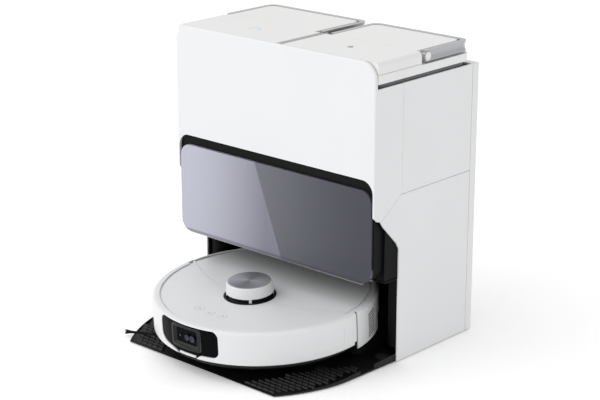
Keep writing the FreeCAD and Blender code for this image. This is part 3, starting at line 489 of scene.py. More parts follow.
bpy.ops.object.select_all(action="DESELECT")
bpy.ops.mesh.primitive_plane_add(size=30)
floor = settle(bpy.context.object, "studio_floor")
floor.data.materials.append(floor_finish())
print("floor ready")

# %% [markdown]
# ## Moulded plastics
# Most of this object is injection-moulded plastic. What tells one plastic from another
# is not its colour but its skin: a spark-eroded mould leaves a fine grain, a polished
# mould leaves a gloss with faint waviness, and dust and handling make the shine uneven.
# One recipe covers them all, with the grain's size and depth as its settings.

# %% One recipe for moulded plastic
def plastic(name, tone, grain, size, shine, drift, coat=0.0, metal=0.0, mirror=0.5, rub=0.16):
    """Coloured plastic: a fine mould grain, slow colour drift and uneven shine."""
    paint = Paint(name)
    fine = paint.noise(size, 2)
    slow = paint.noise(9, 3)
    wear = paint.noise(55, 4, 0.62)
    colour = paint.blend(slow.smooth(0.35, 0.65), tint(tone, 1 - drift), tint(tone))
    rough = shine + (wear - 0.5) * rub + (fine - 0.5) * rub * 0.3
    paint.finish(
        Base_Color=colour,
        Roughness=rough,
        Metallic=metal,
        Normal=paint.bump(fine, grain, 0.00008))
    paint.finish(Coat_Weight=coat, Coat_Roughness=0.08, Specular_IOR_Level=mirror)
    return paint.material


white_shell = plastic("white_shell", (0.765, 0.77, 0.778), grain=0.22, size=3200, shine=0.42,
                      drift=0.012, rub=0.04)
white_lid = plastic("white_lid", (0.8, 0.793, 0.79), grain=0.12, size=3200, shine=0.36,
                    drift=0.012, rub=0.04)
white_robot = plastic("white_robot", (0.75, 0.755, 0.762), grain=0.05, size=3600, shine=0.32,
                      drift=0.008, rub=0.02)
black_housing = plastic("black_housing", (0.007, 0.0072, 0.0078), grain=0.4, size=1500,
                        shine=0.5, drift=0.25, mirror=0.08)
black_tray = plastic("black_tray", (0.008, 0.0082, 0.0088), grain=0.6, size=1100, shine=0.5,
                     drift=0.3, mirror=0.22)
# The ribs are the tray's black plastic made lighter: a painted highlight on the rib tops.
rib_black_painted_highlight = plastic("rib_black_painted_highlight", (0.016, 0.015, 0.0145), grain=0.3, size=1500, shine=0.4,
                    drift=0.2, mirror=0.3)
pan_black = plastic("pan_black", (0.01, 0.0104, 0.0115), grain=0.4, size=1700, shine=0.4,
                    drift=0.25, mirror=0.25)
motor_grey = plastic("motor_grey", (0.09, 0.093, 0.1), grain=0.4, size=1800, shine=0.45,
                     drift=0.15)
handle_grey = plastic("handle_grey", (0.43, 0.437, 0.45), grain=0.18, size=3000, shine=0.3,
                      drift=0.04, coat=0.2, metal=0.35)
silver_trim = plastic("silver_trim", (0.55, 0.56, 0.57), grain=0.1, size=3200, shine=0.28,
                      drift=0.04, coat=0.3, metal=0.5)
print("moulded plastics mixed")


# %% [markdown]
# ## Glossy blacks
# The camera window and the gaps round it are polished black. Gloss black is mostly a
# mirror, so its colour hardly matters. What matters is a very even, very slightly wavy
# surface with a little dust in it.

# %% Gloss black, smoked windows and lenses
def gloss(name, tone, shine=0.07, waves=0.02, dust=0.05, mirror=0.3):
    paint = Paint(name)
    wave = paint.noise(38, 2)
    speck = paint.noise(1900, 1).smooth(0.72, 0.8)
    colour = paint.blend(speck * dust, tint(tone), grey(0.25))
    paint.finish(
        Base_Color=colour,
        Roughness=shine + wave * 0.04 + speck * 0.2,
        Normal=paint.bump(wave, waves, 0.0005))
    paint.finish(Specular_IOR_Level=mirror)
    return paint.material


black_gloss = gloss("black_gloss", (0.003, 0.0032, 0.004), dust=0.02, mirror=0.03)
camera_black = gloss("camera_black", (0.014, 0.0145, 0.016), shine=0.25, mirror=0.2)
lens_glass = gloss("lens_glass", (0.01, 0.013, 0.03), shine=0.03, waves=0.005, dust=0.01,
                   mirror=0.5)
scanner_black = gloss("scanner_black", (0.008, 0.0085, 0.0095), shine=0.3, mirror=0.25)
print("glossy blacks mixed")


# %% [markdown]
# ## The smoked mirror cover
# The panel over the dust compartment is a half-silvered, smoked plastic. Its colour holds a
# painted reflection of the room: light on the left, dark to the right, with a slanting edge
# between the two down its middle, and a darker band along its foot is a painted reflection
# of the robot in front. All of this is written as arithmetic on the piece's own X and Z.

# %% Half-silvered film under a painted reflection
def mirror_finish():
    paint = Paint("mirror_grey")
    across, _, height = paint.axes()
    # Painted reflection: light on the left, dark to the right, with a slanting edge between them.
    reflection_edge_line = across + (height - 0.28) * 0.39 + 0.035
    reflection_falloff = across.smooth(-0.2, 0.2)
    left = paint.blend(reflection_falloff * 2.2, (0.47, 0.475, 0.555, 1), (0.2, 0.205, 0.25, 1))
    dark_reflection_tone = paint.blend(reflection_falloff * 1.3 - 0.35, (0.16, 0.165, 0.195, 1), (0.045, 0.048, 0.062, 1))
    step = reflection_edge_line.smooth(-0.002, 0.002)
    colour = paint.blend(step, left, dark_reflection_tone)
    # Painted reflection of the robot: a darker band along the cover's foot.
    foot = paint.blend(height.smooth(0.143, 0.1415) * 0.45, colour, (0.03, 0.032, 0.04, 1))
    cloud = paint.noise(14, 2)
    paint.finish(
        Base_Color=foot,
        Roughness=0.16 + cloud * 0.05,
        Metallic=0.1,
        Normal=paint.bump(paint.noise(25, 1), 0.01, 0.0005))
    paint.finish(Specular_IOR_Level=0.35)
    return paint.material


mirror_grey = mirror_finish()
print("smoked mirror ready")


# %% [markdown]
# ## Metals, rubbers and clear plastics
# Brushed metal is a grain that runs one way: noise squeezed along the brushing. Spun
# metal has the same grain in rings, so the noise is read from the distance to the
# middle. Rubber is nearly matt with a dusty bloom. Clear plastic is glass with a tint.

# %% Metals
def spun_metal(name, centre, tone):
    """Metal turned on a lathe: rings round a centre, and two soft bright sweeps painted into its
    colour as highlights.
    """
    paint = Paint(name)
    local = paint.add("ShaderNodeVectorMath", {"operation": "SUBTRACT"}, paint.place, tuple(centre))
    x, y, _ = paint.axes(local)
    distance = (x * x + y * y).power(0.5)
    ring = paint.add("ShaderNodeTexNoise", {"noise_dimensions": "1D"},
                     W=distance, Scale=9000, Detail=4)
    turn = paint.add("ShaderNodeMath", {"operation": "ARCTAN2"}, y, x)
    # Painted highlight: two bright sweeps round the centre, darker between them, in the base
    # colour.
    sweep = (turn * 2 + 0.9).wave() * 0.5 + 0.5
    colour = paint.blend(sweep * 0.8 + ring * 0.2, tint(tone, 0.42), tint(tone))
    paint.finish(
        Base_Color=colour,
        Metallic=0.9,
        Roughness=0.26 + ring * 0.2,
        Normal=paint.bump(ring, 0.25, 0.00006))
    return paint.material


def metal(name, tone, shine=0.28, stretch=(1, 1, 12)):
    paint = Paint(name)
    grain = paint.noise(420, 3, 0.6, stretch)
    spots = paint.noise(30, 3)
    colour = paint.blend(spots, tint(tone, 0.8), tint(tone))
    return paint.finish(
        Base_Color=colour,
        Metallic=1.0,
        Roughness=shine + grain * 0.14,
        Normal=paint.bump(grain, 0.1, 0.00005))


steel = metal("steel", (0.56, 0.57, 0.58))
copper_contact = metal("copper_contact", (0.78, 0.66, 0.44), 0.2)
brushed_disc = spun_metal("brushed_disc", ROBOT @ Vector((0, SCANNER_Y, 102)), (0.62, 0.63, 0.64))
print("metals ready")


# %% Rubbers, fibres and clear plastics
def rubber(name, tone, size=900, depth=0.4):
    paint = Paint(name)
    grain = paint.noise(size, 3)
    bloom = paint.noise(24, 4, 0.6)
    colour = paint.blend(bloom.smooth(0.45, 0.75) * 0.5, tint(tone),
                         tint(tone, 1.8, 0.01))
    return paint.finish(
        Base_Color=colour,
        Roughness=0.72 + bloom * 0.16,
        Normal=paint.bump(grain, depth, 0.0001))


def clear(name, tone, alpha, shine=0.06):
    """See-through plastic: a tint, a polished skin and a trace of water marks."""
    paint = Paint(name)
    marks = paint.noise(70, 4, 0.7)
    paint.finish(
        Base_Color=paint.blend(marks * 0.3, tint(tone), tint(tone, 0.8)),
        Roughness=shine + marks.smooth(0.6, 0.8) * 0.12,
        Alpha=alpha + marks.smooth(0.6, 0.8) * 0.05,
        Normal=paint.bump(paint.noise(20, 2), 0.02, 0.0005))
    return paint.material


rubber_black = rubber("rubber", (0.018, 0.018, 0.019))
wheel_rubber = rubber("wheel_rubber", (0.022, 0.022, 0.023), size=700, depth=0.5)
roller_rubber = rubber("roller_rubber", (0.06, 0.063, 0.07), size=1200)
clear_tank = clear("clear_tank", (0.75, 0.8, 0.84), 0.42)
smoke_tank = clear("smoke_tank", (0.16, 0.165, 0.175), 0.72)
bin_smoke = clear("bin_smoke", (0.09, 0.092, 0.1), 0.7)
print("rubbers and clear plastics ready")


# %% [markdown]
# ## The white front of the housing
# The front is one deep moulding: a flat face with two short side returns, arched over
# the dark opening. It could be lofted from curves, but its real shape is a hollow box
# with parts cut away, so it is made that way. A box gets its large corner rounds, its
# walls are hollowed out, and the arch and the sloping shoulders are cut from it. The
# small softening of every edge comes last, as a polished mould would leave it.

# %% The housing's main sizes
HALF = 204.5
WALL = 2.6
INNER = HALF - WALL
DEPTH = 243
TOP = 474
SEAM_Z = 267
print("housing", 2 * HALF, "x", DEPTH, "x", TOP, "mm")


# %% Rounded blocks
def rounded_block(name, low, high, radius, axis="Y", segments=10):
    """A block whose four long edges along one axis are rounded."""
    piece = block(name, low, high)
    return round_edges(piece, radius, along(axis), segments)


def prism(name, points, low, high):
    """An outline of (y, z) corners, pushed along X from low to high."""
    piece = outline(name, [(low, y, z) for y, z in points])
    return push(piece, (high - low, 0, 0))


def facing(name, points, low, high, radius=0, segments=0):
    """An outline of (x, z) corners, pushed along Y, with its corners rounded."""
    piece = push(outline(name, [(x, low, z) for x, z in points]), (0, high - low, 0))
    return round_edges(piece, radius, along("Y"), segments) if radius else piece


def corners(near, far, low, high):
    """The four corners of an upright rectangle."""
    return [(near, low), (far, low), (far, high), (near, high)]


# %% Front shell
front_shell = block("white_front", (-HALF, -DEPTH, 193), (HALF, -180, TOP))
round_edges(front_shell, 26, lambda middle, run: abs(run.y) > 0.99 and middle.z > 400, 16)
round_edges(front_shell, 2.4, lambda middle, run: middle.y < -DEPTH + 0.1 and middle.z > 200, 5)
hollow = block("shell_hollow", (-INNER, -DEPTH + WALL, 100), (INNER, 5, TOP - WALL))
round_edges(hollow, 23.4, lambda middle, run: abs(run.y) > 0.99 and middle.z > 400, 12)
arch = rounded_block("arch_cut", (-201.1, -260, -10), (201.1, -225, 298), 20, "Y", 12)
lid_room = block("lid_room", (-220, -DEPTH + WALL + 2, 435), (220, 5, 480))
shoulder = prism("shoulder_cut", [
    (-250, 244), (-DEPTH, 244), (-236, 237), (-228, 235.5), (-214, 243), (-193, 260),
    (-181, SEAM_Z), (-170, SEAM_Z), (-170, 100), (-250, 100)], -220, 220)
carve(front_shell, hollow, arch, lid_room, shoulder)
soften(front_shell, 0.45, 2)
fit(front_shell, DOCK, "dock", white_shell, ["front_shell"])

# %% [markdown]
# ## Side walls, upper sides and the rear
# Each side is two panels with a fine seam between them. The lower one carries the sharp
# front corner beside the bay and the sloping shoulder that the front moulding sits on.
# They are flat profiles pushed to their thickness. The seam is a real gap, so it keeps
# its shadow in every view.

# %% Lower and upper side walls
GAP = 0.4
LOWER_SIDE = [
    (-14.4, 1.5), (-14.4, SEAM_Z - GAP), (-181, SEAM_Z - GAP), (-193, 260 - GAP),
    (-214, 243 - GAP), (-228, 235.5 - GAP), (-222, 226), (-190, 193), (-184, 183), (-184, 1.5)]
UPPER_SIDE = [(-14.4, SEAM_Z), (-14.4, 435), (-179.6, 435), (-179.6, SEAM_Z)]
SIDES = ((-1, "left"), (1, "right"))
WALLS = ((LOWER_SIDE, "side_wall", "side_panel"), (UPPER_SIDE, "upper_wall", "upper_side"))
for side, word in SIDES:
    for profile, title, node in WALLS:
        low, high = sorted((side * HALF, side * INNER))
        wall = prism(f"{title}_{word}", profile, low, high)
        round_edges(wall, 1.1, lambda middle, run: abs(middle.x) > HALF - 0.1, 3)
        fit(wall, DOCK, "dock", white_shell, [f"{node}_{word}"])


# %% Rear wall with its vent, screw wells and inlet pocket
def recast(node, name, width=0.5, segments=2, angle=35):
    """A fresh copy of a model part: welded, simplified, and its edges softened."""
    piece = twin(nodes[node])
    piece.name = name
    piece.parent = None
    for key in list(piece.keys()):
        del piece[key]
    with editing(piece):
        bpy.ops.mesh.remove_doubles(threshold=0.00001)
        bpy.ops.mesh.dissolve_limited(angle_limit=math.radians(2))
    piece.data.transform(Matrix.Scale(1 / MM, 4))
    return soften(piece, width, segments, angle)


WORLD = Matrix.Scale(MM, 4)
rear_wall = recast("rear_panel", "rear_wall", 0.7, 2)
fit(rear_wall, WORLD, "dock", white_shell, ["rear_panel"])

# %% [markdown]
# ## The ramp and tray
# The robot climbs this shallow ramp. Its outline narrows to the front with big round
# corners, and two pads of small staggered ribs give the wheels their grip. The tray is
# an outline pushed up and cut off along the slope. One rib is modelled, then copied on
# a grid like laid bricks. A place is left out where it would cross the pad's slanting
# inner edge or the tray's rim.

# %% Tray with its border groove and basin
SLOPE = math.radians(3.1)
RAMP = math.tan(SLOPE)
CREST = -253.5


def ramp_z(y, below=1.6):
    return 11.8 + (y - CREST) * RAMP - below


plan = [(-201.5, -3.4), (-201.5, -184), (-197, -298), (-187, -362.7), (-154, -403),
        (154, -403), (187, -362.7), (197, -298), (201.5, -184), (201.5, -3.4)]
tray = push(outline("ramp_tray", [(x, y, 1.5) for x, y in plan]), (0, 0, 60))
round_edges(tray, 70, lambda middle, run: abs(run.z) > 0.99 and -370 < middle.y < -350, 12)
slope_cut = ((0, CREST, ramp_z(CREST)), (0, -RAMP, 1))
level_cut = ((0, 0, ramp_z(-66)), (0, 0, 1))
with editing(tray):
    for spot, normal in (slope_cut, level_cut):
        bpy.ops.mesh.select_all(action="SELECT")
        bpy.ops.mesh.bisect(plane_co=spot, plane_no=normal, clear_outer=True, use_fill=True)
inset(tray, lambda middle, normal: normal.z > 0.9 and middle.y < -100,
      (3, 0), (0.5, -0.7), (0.5, 0.7))
basin = rounded_block("basin_cut", (-150, -212, 3), (150, -84, 60), 16, "Z", 8)
carve(tray, basin)
print("tray", len(tray.data.polygons), "faces")


# %% Copies of one small piece
def scatter(seed, places, name):
    """Copy one piece to many places, then join the copies."""
    copies = [twin(seed) for _ in places]
    for copy, place in zip(copies, places):
        copy.data.transform(place)
    bpy.data.objects.remove(seed)
    bpy.ops.object.select_all(action="DESELECT")
    for copy in copies:
        copy.select_set(True)
    bpy.context.view_layer.objects.active = copies[0]
    bpy.ops.object.join()
    copies[0].name = name
    return copies[0]


# %% Staggered grip ribs
rib = block("grip_rib", (-5.5, -2, -1.2), (5.5, 2, 1.6))
with editing(rib, pick="DESELECT"):
    choose(rib, lambda middle, normal: normal.z > 0.9)
    bpy.ops.transform.resize(value=(0.9, 0.4, 1))


def rim_x(y):
    """How far out the tray's outline reaches at a place along it."""
    if y < -362.7:
        return 154 + (y + 403) * 0.82
    return 187 + (y + 362.7) * 0.155 if y < -298 else 197 + (y + 298) * 0.04


ROWS, COLUMNS = 18, 18
FIRST_ROW, ROW_STEP, RIB_STEP = -394, 7.9, 11.8
spots = []
for row in range(ROWS):
    y = FIRST_ROW + row * ROW_STEP
    inner = 84 + (y - FIRST_ROW) * 0.62
    outer = rim_x(y) - 8 - 6 * max(0, 1 - abs(y + 362.7) / 26)
    for index in range(COLUMNS):
        x = (index + (row % 2) / 2) * RIB_STEP
        if inner + 5 < x < outer - 1:
            spots += [(x, y), (-x, y)]
tilt = Matrix.Rotation(SLOPE, 4, "X")
grip = scatter(rib, [Matrix.Translation((x, y, ramp_z(y))) @ tilt for x, y in spots], "grip_ribs")
# The lighter rib black is a painted highlight.
fit(grip, DOCK, "dock", rib_black_painted_highlight)
print(len(spots), "ribs")

# %% Cheeks that rise from the tray to the side walls
cheek_profile = [
    (-262, 4), (-262, ramp_z(-262) + 0.6), (-246, 12.4), (-230, 15), (-214, 20.4),
    (-204, 26.4), (-196, 31.6), (-184.4, 34), (-184.4, 4)]
cheeks = []
for side in (-1, 1):
    low, high = sorted((side * 199.6, side * 189))
    cheek = prism("cheek", cheek_profile, low, high)
    round_edges(cheek, 4, lambda middle, run: (
        side * middle.x < 190 and middle.z > 6 and abs(run.x) < 0.1), 4)
    cheeks.append(cheek)
merge(tray, *cheeks)
soften(tray, 0.5, 2, 40)
fit(tray, DOCK, "dock", black_tray, ["base_tray"])

# %% [markdown]
# ## Basin, washing board and roller
# The mop is washed in the basin. A board with low bars rubs it and a turning ringed
# roller carries the dirt to the drain. Neither shows while the robot is parked, but
# both show once it drives out, so they get softened copies of the model's own shapes.

# %% Washing parts and feet
fit(recast("wash_board", "washing_board", 0.6), WORLD, "dock", motor_grey, ["wash_board"])
fit(recast("wash_roller", "washing_roller", 0.5, 2, 50), WORLD,
    "wash_roller", roller_rubber, ["wash_roller"])
fit(recast("rubber_feet", "floor_feet", 0.8), WORLD, "dock", rubber_black, ["rubber_feet"])

# %% [markdown]
# ## The dark parking bay
# Behind the ramp the housing is lined in matt black: a roof, a back with a suction port
# and two charging contacts, and a rounded column beside each side wall. The column is
# a cylinder blended into the wall, so that the corner catches a soft light.

# %% Bay lining
LINE = INNER - 0.4
bay = block("bay_lining", (-LINE, -213, 134), (LINE, -66, 136.4))
bay_parts = [block("bay_back", (-LINE, -66, 20.8), (LINE, -63.6, 136.4))]
for side in (-1, 1):
    low, high = sorted((side * LINE, side * (LINE - 2.4)))
    bay_parts.append(block("bay_side", (low, -182, 22), (high, -64, 136)))
    column = drum("bay_column", 13, 21.5, 135, (side * (LINE - 12.5), -168), 48)
    inset(column, lambda middle, normal: abs(normal.z) > 0.9, (1.2, 0))
    bay_parts.append(column)
merge(bay, *bay_parts)
carve(bay, drum("port_cut", 17, -80, -50, (118, 52), 48, "Y"))
soften(bay, 0.8, 2, 40)
fit(bay, DOCK, "dock", black_housing, ["bay_liner"])

# %% Charging contacts
contacts = []
for x in (-51, 51):
    contact = rounded_block("contact", (x - 13, -69, 44), (x + 13, -66, 54), 2.2, "Y", 5)
    round_edges(contact, 0.8, lambda middle, run: middle.y < -68.9, 3)
    contacts.append(contact)
fit(merge(*contacts), DOCK, "dock", copper_contact, ["charging_contacts"])

# %% [markdown]
# ## Dust compartment and its smoked cover
# The compartment is an open-fronted box. Its front rim has the same rounded outline as
# the cover, and shows as the deep black edge round it. The cover is a flat moulding,
# slightly pillowed at its border, with a fine grey line where the film stops and a thin
# silver lip under it for the fingers.

# %% Compartment
box_low, box_high = 138, 299.6
dust_box = block("dust_compartment_box", (-LINE, -214, box_low), (LINE, -112, box_high))
rim = rounded_block("dust_rim", (-197.6, -235.6, box_low + 0.6), (197.6, -213, 281), 19, "Y", 12)
merge(dust_box, rim)
room = rounded_block("dust_room", (-192, -260, box_low + 4), (192, -114.6, 277), 14, "Y", 10)
upper_room = rounded_block("upper_room", (-196, -205, box_low + 4), (196, -114.6, 296), 12, "Y", 8)
duct = drum("duct_cut", 12, -130, -100, (0, 228), 48, "Y")
carve(dust_box, room, upper_room, duct)
rails = [block("bag_rail", (x, -122.6, 170), (x + 7.5, -113.6, 284)) for x in (-56, 48.5)]
merge(dust_box, *rails)
soften(dust_box, 0.7, 2, 40)
fit(dust_box, DOCK, "dock", black_housing, ["dust_compartment"])

# %% Black frame behind the arch, above the cover
arch_frame = rounded_block("arch_frame", (-201, -238.6, 150), (201, -236.2, 297.6), 19.6, "Y", 12)
opening = rounded_block("frame_cut", (-198.9, -250, 100), (198.9, -230, 282.6), 20, "Y", 12)
carve(arch_frame, opening)
soften(arch_frame, 0.4, 2, 40)
fit(arch_frame, DOCK, "dock", black_housing)

# %% Smoked cover and its lip
cover = rounded_block("smoked_cover", (-198.7, -243, 137.4), (198.7, -237, 282), 20, "Y", 14)
inset(cover, lambda middle, normal: normal.y < -0.9, (1.0, 0))
round_edges(cover, 0.9, lambda middle, run: middle.y < -242.9 and (
    abs(middle.x) > 198.6 or middle.z < 137.5 or middle.z > 281.9 or abs(run.x * run.z) > 0.001), 3)
fit(cover, DOCK, "dust_cover", mirror_grey, ["dust_cover"])

lip = prism("finger_lip", [
    (-238, 137.4), (-242.2, 137.4), (-241.4, 136), (-238, 135.2),
    (-215, 135.2), (-214.4, 136), (-216, 137.4)], -180, 180)
soften(lip, 0.35, 2, 40)
fit(lip, DOCK, "dust_cover", silver_trim, ["cover_lip"])

# %% Fine grey edge of the film
film_edge = rounded_block(
    "film_edge", (-198.75, -242.3, 137.35), (198.75, -241.5, 282.05), 20.05, "Y", 14)
hole = rounded_block("film_cut", (-197.4, -250, 138.7), (197.4, -230, 280.7), 18.8, "Y", 14)
carve(film_edge, hole)
fit(film_edge, DOCK, "dust_cover", motor_grey)


# %% [markdown]
# ## Two water tanks under two lids
# Behind the front panel sit two lift-out tanks, clean water on the left and dirty water
# on the right. Each has a white lid. The lid's front half is a plain slab with rounded
# edges. Its rear half is a raised island, and a silver bail handle folds flat round it.

# %% Tank bodies
TANKS = {"clean": (-204, 6), "waste": (18, 204)}
for kind, (low, high) in TANKS.items():
    tank = rounded_block(
        f"{kind}_tank_body", (low + 4, -234, 303.6), (high - 4, -25, 436), 14, "Z", 8)
    round_edges(tank, 5, lambda middle, run: middle.z < 304, 4)
    collar = rounded_block("tank_collar", (low + 4, -234, 436), (high - 4, -25, 440.8), 14, "Z", 8)
    merge(tank, collar)
    inset(tank, lambda middle, normal: abs(normal.y) > 0.95 and 310 < middle.z < 430,
          (14, 0), (2, -1.2))
    room = rounded_block(
        "tank_room", (low + 7.4, -230.6, 307), (high - 7.4, -28.4, 450), 11, "Z", 8)
    carve(tank, room)
    soften(tank, 0.5, 2, 40)
    finish = clear_tank if kind == "clean" else smoke_tank
    fit(tank, DOCK, f"{kind}_tank", finish, [f"{kind}_tank"])

# %% Lids
LID_TOP = 473.6
for kind, (low, high) in TANKS.items():
    outside = low if kind == "clean" else high
    slab = block(f"{kind}_lid_body", (low, -237, 441.8), (high, -139, LID_TOP))
    round_edges(slab, 7, lambda middle, run: (
        abs(run.y) > 0.99 and middle.z > 460 and abs(middle.x - outside) < 1), 8)
    shelf = block("lid_shelf", (low, -139.5, 441.8), (high, -22, 453.8))
    round_edges(shelf, 12, lambda middle, run: abs(run.z) > 0.99 and middle.y > -30, 8)
    island = block("lid_island", (low + 11, -140, 450), (high - 11, -34, LID_TOP))
    round_edges(island, 11, lambda middle, run: abs(run.z) > 0.99 and middle.y > -40, 8)
    merge(slab, shelf, island)
    under = block("lid_under", (low + 4, -233, 430), (high - 4, -142, LID_TOP - 4))
    shelf_room = block("shelf_room", (low + 15, -143, 430), (high - 15, -39, LID_TOP - 4))
    seam = block("lid_seam", (low + 40, -136.4, LID_TOP - 0.7), (high - 40, -135.7, LID_TOP + 1))
    step = block("lid_side_groove", (outside - 1.2, -236, 455), (outside + 1.2, -141, 456.4))
    carve(slab, under, shelf_room, seam, step)
    soften(slab, 0.9, 3, 40)
    fit(slab, DOCK, f"{kind}_lid", white_lid, [f"{kind}_lid"])

# %% [markdown]
# ## Bail handles
# The handle is a U-shaped bar with a waisted outer face, so a finger can catch it. A
# sweep along a curve would do. Here a U-shaped block is sliced at several heights and
# each slice's outer rim is drawn in by the depth of the waist, which keeps the pivots'
# flat ends easy to place.

# %% A waisted U
def bail(name, low, high, front, rear, floor, top):
    middle, half = (low + high) / 2, (high - low) / 2
    piece = block(name, (low, front, floor), (high, rear, top))
    round_edges(piece, 15, lambda spot, run: abs(run.z) > 0.99 and spot.y > rear - 5, 10)
    room = block("bail_room", (low + 8.4, front - 10, floor - 5), (high - 8.4, rear - 8.4, top + 5))
    round_edges(room, 8, lambda spot, run: abs(run.z) > 0.99 and spot.y > rear - 15, 8)
    carve(piece, room)
    levels = [floor + (top - floor) * share for share in (0.14, 0.24, 0.36, 0.5, 0.64, 0.76, 0.86)]
    slice_at(piece, levels)
    for vertex in piece.data.vertices:
        share = (vertex.co.z - floor) / (top - floor)
        waist = 0
        if 0.08 < share < 0.92:
            waist = 2.6 * math.sin(math.pi * (share - 0.08) / 0.84)
        across = vertex.co.x - middle
        if abs(across) > half - 3:
            vertex.co.x -= math.copysign(waist, across)
        elif vertex.co.y > rear - 16 and abs(across) > half - 16:
            spot = Vector((abs(across) - (half - 15), vertex.co.y - (rear - 15)))
            if spot.length > 11:
                spot *= (spot.length - waist) / spot.length
                vertex.co.x = middle + math.copysign(half - 15 + spot.x, across)
                vertex.co.y = rear - 15 + spot.y
        if vertex.co.y > rear - 3 and abs(across) < half - 15:
            vertex.co.y -= waist
    return soften(piece, 0.7, 3, 28)


PIVOT = (-124, 464.8)
for kind, (low, high) in TANKS.items():
    handle = bail(f"{kind}_bail", low + 0.6, high - 0.6, -129, -22.4, 457, LID_TOP)
    ends = ((-1, "left", low), (1, "right", high))
    pins = []
    for side, _, edge in ends:
        start, end = sorted((edge - side * 0.4, edge - side * 12))
        pins.append(drum("pivot_boss", 7.6, start, end, PIVOT, 48, "X"))
    merge(handle, *pins)
    soften(handle, 0.5, 2, 50)
    fit(handle, DOCK, f"{kind}_handle", handle_grey, [f"{kind}_handle"], 40)
    for side, word, edge in ends:
        start, end = sorted((edge - side * 1.6, edge + side * 0.3))
        cap = drum(f"{kind}_pivot_cap_{word}", 6.2, start, end, PIVOT, 48, "X")
        inset(cap, lambda middle, normal: side * normal.x > 0.9, (1.1, 0), (0.5, -0.25))
        soften(cap, 0.3, 3, 40)
        fit(cap, DOCK, f"{kind}_handle", white_lid)


# %% Tank deck
fit(recast("tank_deck", "tank_shelf", 0.5), WORLD, "dock", white_shell, ["tank_deck"])

# %% [markdown]
# ## Printed marks on the lids
# Two small generic marks tell the tanks apart: a pale blue ring for clean water and a
# grey drop for dirty water. Print has almost no height, so each mark is a thin flat
# shape that stands a few hundredths of a millimetre proud, which avoids flicker.

# %% Ink and the two marks
def ink(name, tone):
    paint = Paint(name)
    speck = paint.noise(1500, 2)
    return paint.finish(
        Base_Color=paint.blend(speck * 0.25, tint(tone), tint(tone, 0.8)),
        Roughness=0.4 + speck * 0.1)


blue_ink = ink("blue_ink", (0.3, 0.58, 0.78))
grey_ink = ink("grey_ink", (0.3, 0.3, 0.31))
faint_ink = ink("faint_ink", (0.36, 0.365, 0.38))


def polar(at, radius, degrees):
    """A place round a middle, its angle counted from the front towards the right."""
    angle = math.radians(degrees)
    return at[0] + radius * math.sin(angle), at[1] - radius * math.cos(angle)


def ring(name, inner, outer, at, low, high, degrees=360, start=0):
    """A flat washer, or part of one, turned from a small square outline."""
    square = [(*polar(at, r, start), z) for r, z in corners(inner, outer, low, high)]
    piece = outline(name, square, filled=degrees < 360)
    return spin(piece, degrees, (*at, 0), max(6, int(degrees / 6)))


blue_mark = ring("clean_mark", 8.2, 9.6, (-87, -186), LID_TOP - 0.4, LID_TOP + 0.06, 250, 55)
fit(blue_mark, DOCK, "clean_lid", blue_ink)
drop = drum("waste_mark", 5, LID_TOP - 0.4, LID_TOP + 0.06, (105, -183), 40)
for vertex in drop.data.vertices:
    rise = vertex.co.y + 183
    if rise > 0:
        vertex.co.x = 105 + (vertex.co.x - 105) * (1 - 0.9 * (rise / 5) ** 0.8)
        vertex.co.y = -183 + rise * 1.5
fit(drop, DOCK, "waste_lid", grey_ink)


# %% [markdown]
# ## The robot's round walls
# Everything round on the robot is a profile turned about its middle. Angles are counted
# from the nose, with the right side positive. A full turn is closed on itself, and a
# part turn keeps its two flat ends.

# %% Turning a profile
def lathe(name, profile, degrees=360, start=0, at=(0, 0), fine=2):
    """Turn (radius, height) corners about an upright axis, from an angle off the nose."""
    full = degrees >= 360
    piece = outline(name, [(*polar(at, r, start), z) for r, z in profile], filled=not full)
    spin(piece, degrees, (*at, 0), max(4, round(degrees / fine)))
    if full:
        with editing(piece):
            bpy.ops.mesh.delete_loose()
    return piece


RADIUS = 175
LEAN = math.degrees(math.atan(RAMP))
print("robot", 2 * RADIUS, "mm across, leaning", round(LEAN, 2), "degrees")

# %% [markdown]
# ## Bumper with its window opening
# The front half of the wall is a bumper that moves on springs. Its upper edge rolls over
# in a soft rim. The opening for the camera window is a rounded polygon with a lower
# step in the middle, cut straight back, which bends its outline over the curved wall
# just as on the real moulding.

# %% Bumper shell
def wall_profile(low, flange):
    return [
        (172.4, low), (173.8, low), (174.6, low + 0.5), (RADIUS, low + 1.6), (RADIUS, 73),
        (174.8, 75), (174.1, 76.8), (172.9, 78.2), (171.2, 79.1), (168.6, 79.7),
        (flange, 79.8), (flange, 77.3), (172.4, 77.3)]


WINDOW = [(-59.4, 45), (-59.4, 71), (-54, 77.2), (54, 77.2), (59.4, 71), (59.4, 41), (53, 35),
          (28, 34.4), (19, 26.4), (-14, 26.4), (-22, 31.5), (-50, 37)]
BAR = corners(-13.7, 20, 28.7, 32.7)
bumper = lathe("white_bumper", wall_profile(27.6, 163.4), 188, -94, fine=1)
opening = facing("window_cut", WINDOW, -200, -120, 3.8, 6)
recesses = []
for side in (-1, 1):
    band = lathe("side_band", corners(174.5, 178, 30, 76), 22, side * 77 - 11, fine=1)
    shape = prism("band_shape", corners(-64, -15, 37, 69), *sorted((side * 120, side * 200)))
    round_edges(shape, 7, along("X"), 6)
    recesses.append(carve(band, shape, operation="INTERSECT"))
corner_notches = [lathe("end_notch", corners(170, 180, 20, 32.5), 2.2, start, fine=1)
                  for start in (-94.5, 92.3)]
corner_notches += [lathe("rim_notch", corners(160, 169.6, 76, 84), 6, start, fine=1)
                   for start in (-95, 89)]
carve(bumper, opening, *recesses, *corner_notches)
soften(bumper, 0.5, 2, 38)
fit(bumper, ROBOT, "bumper", white_robot, ["bumper"], 30)

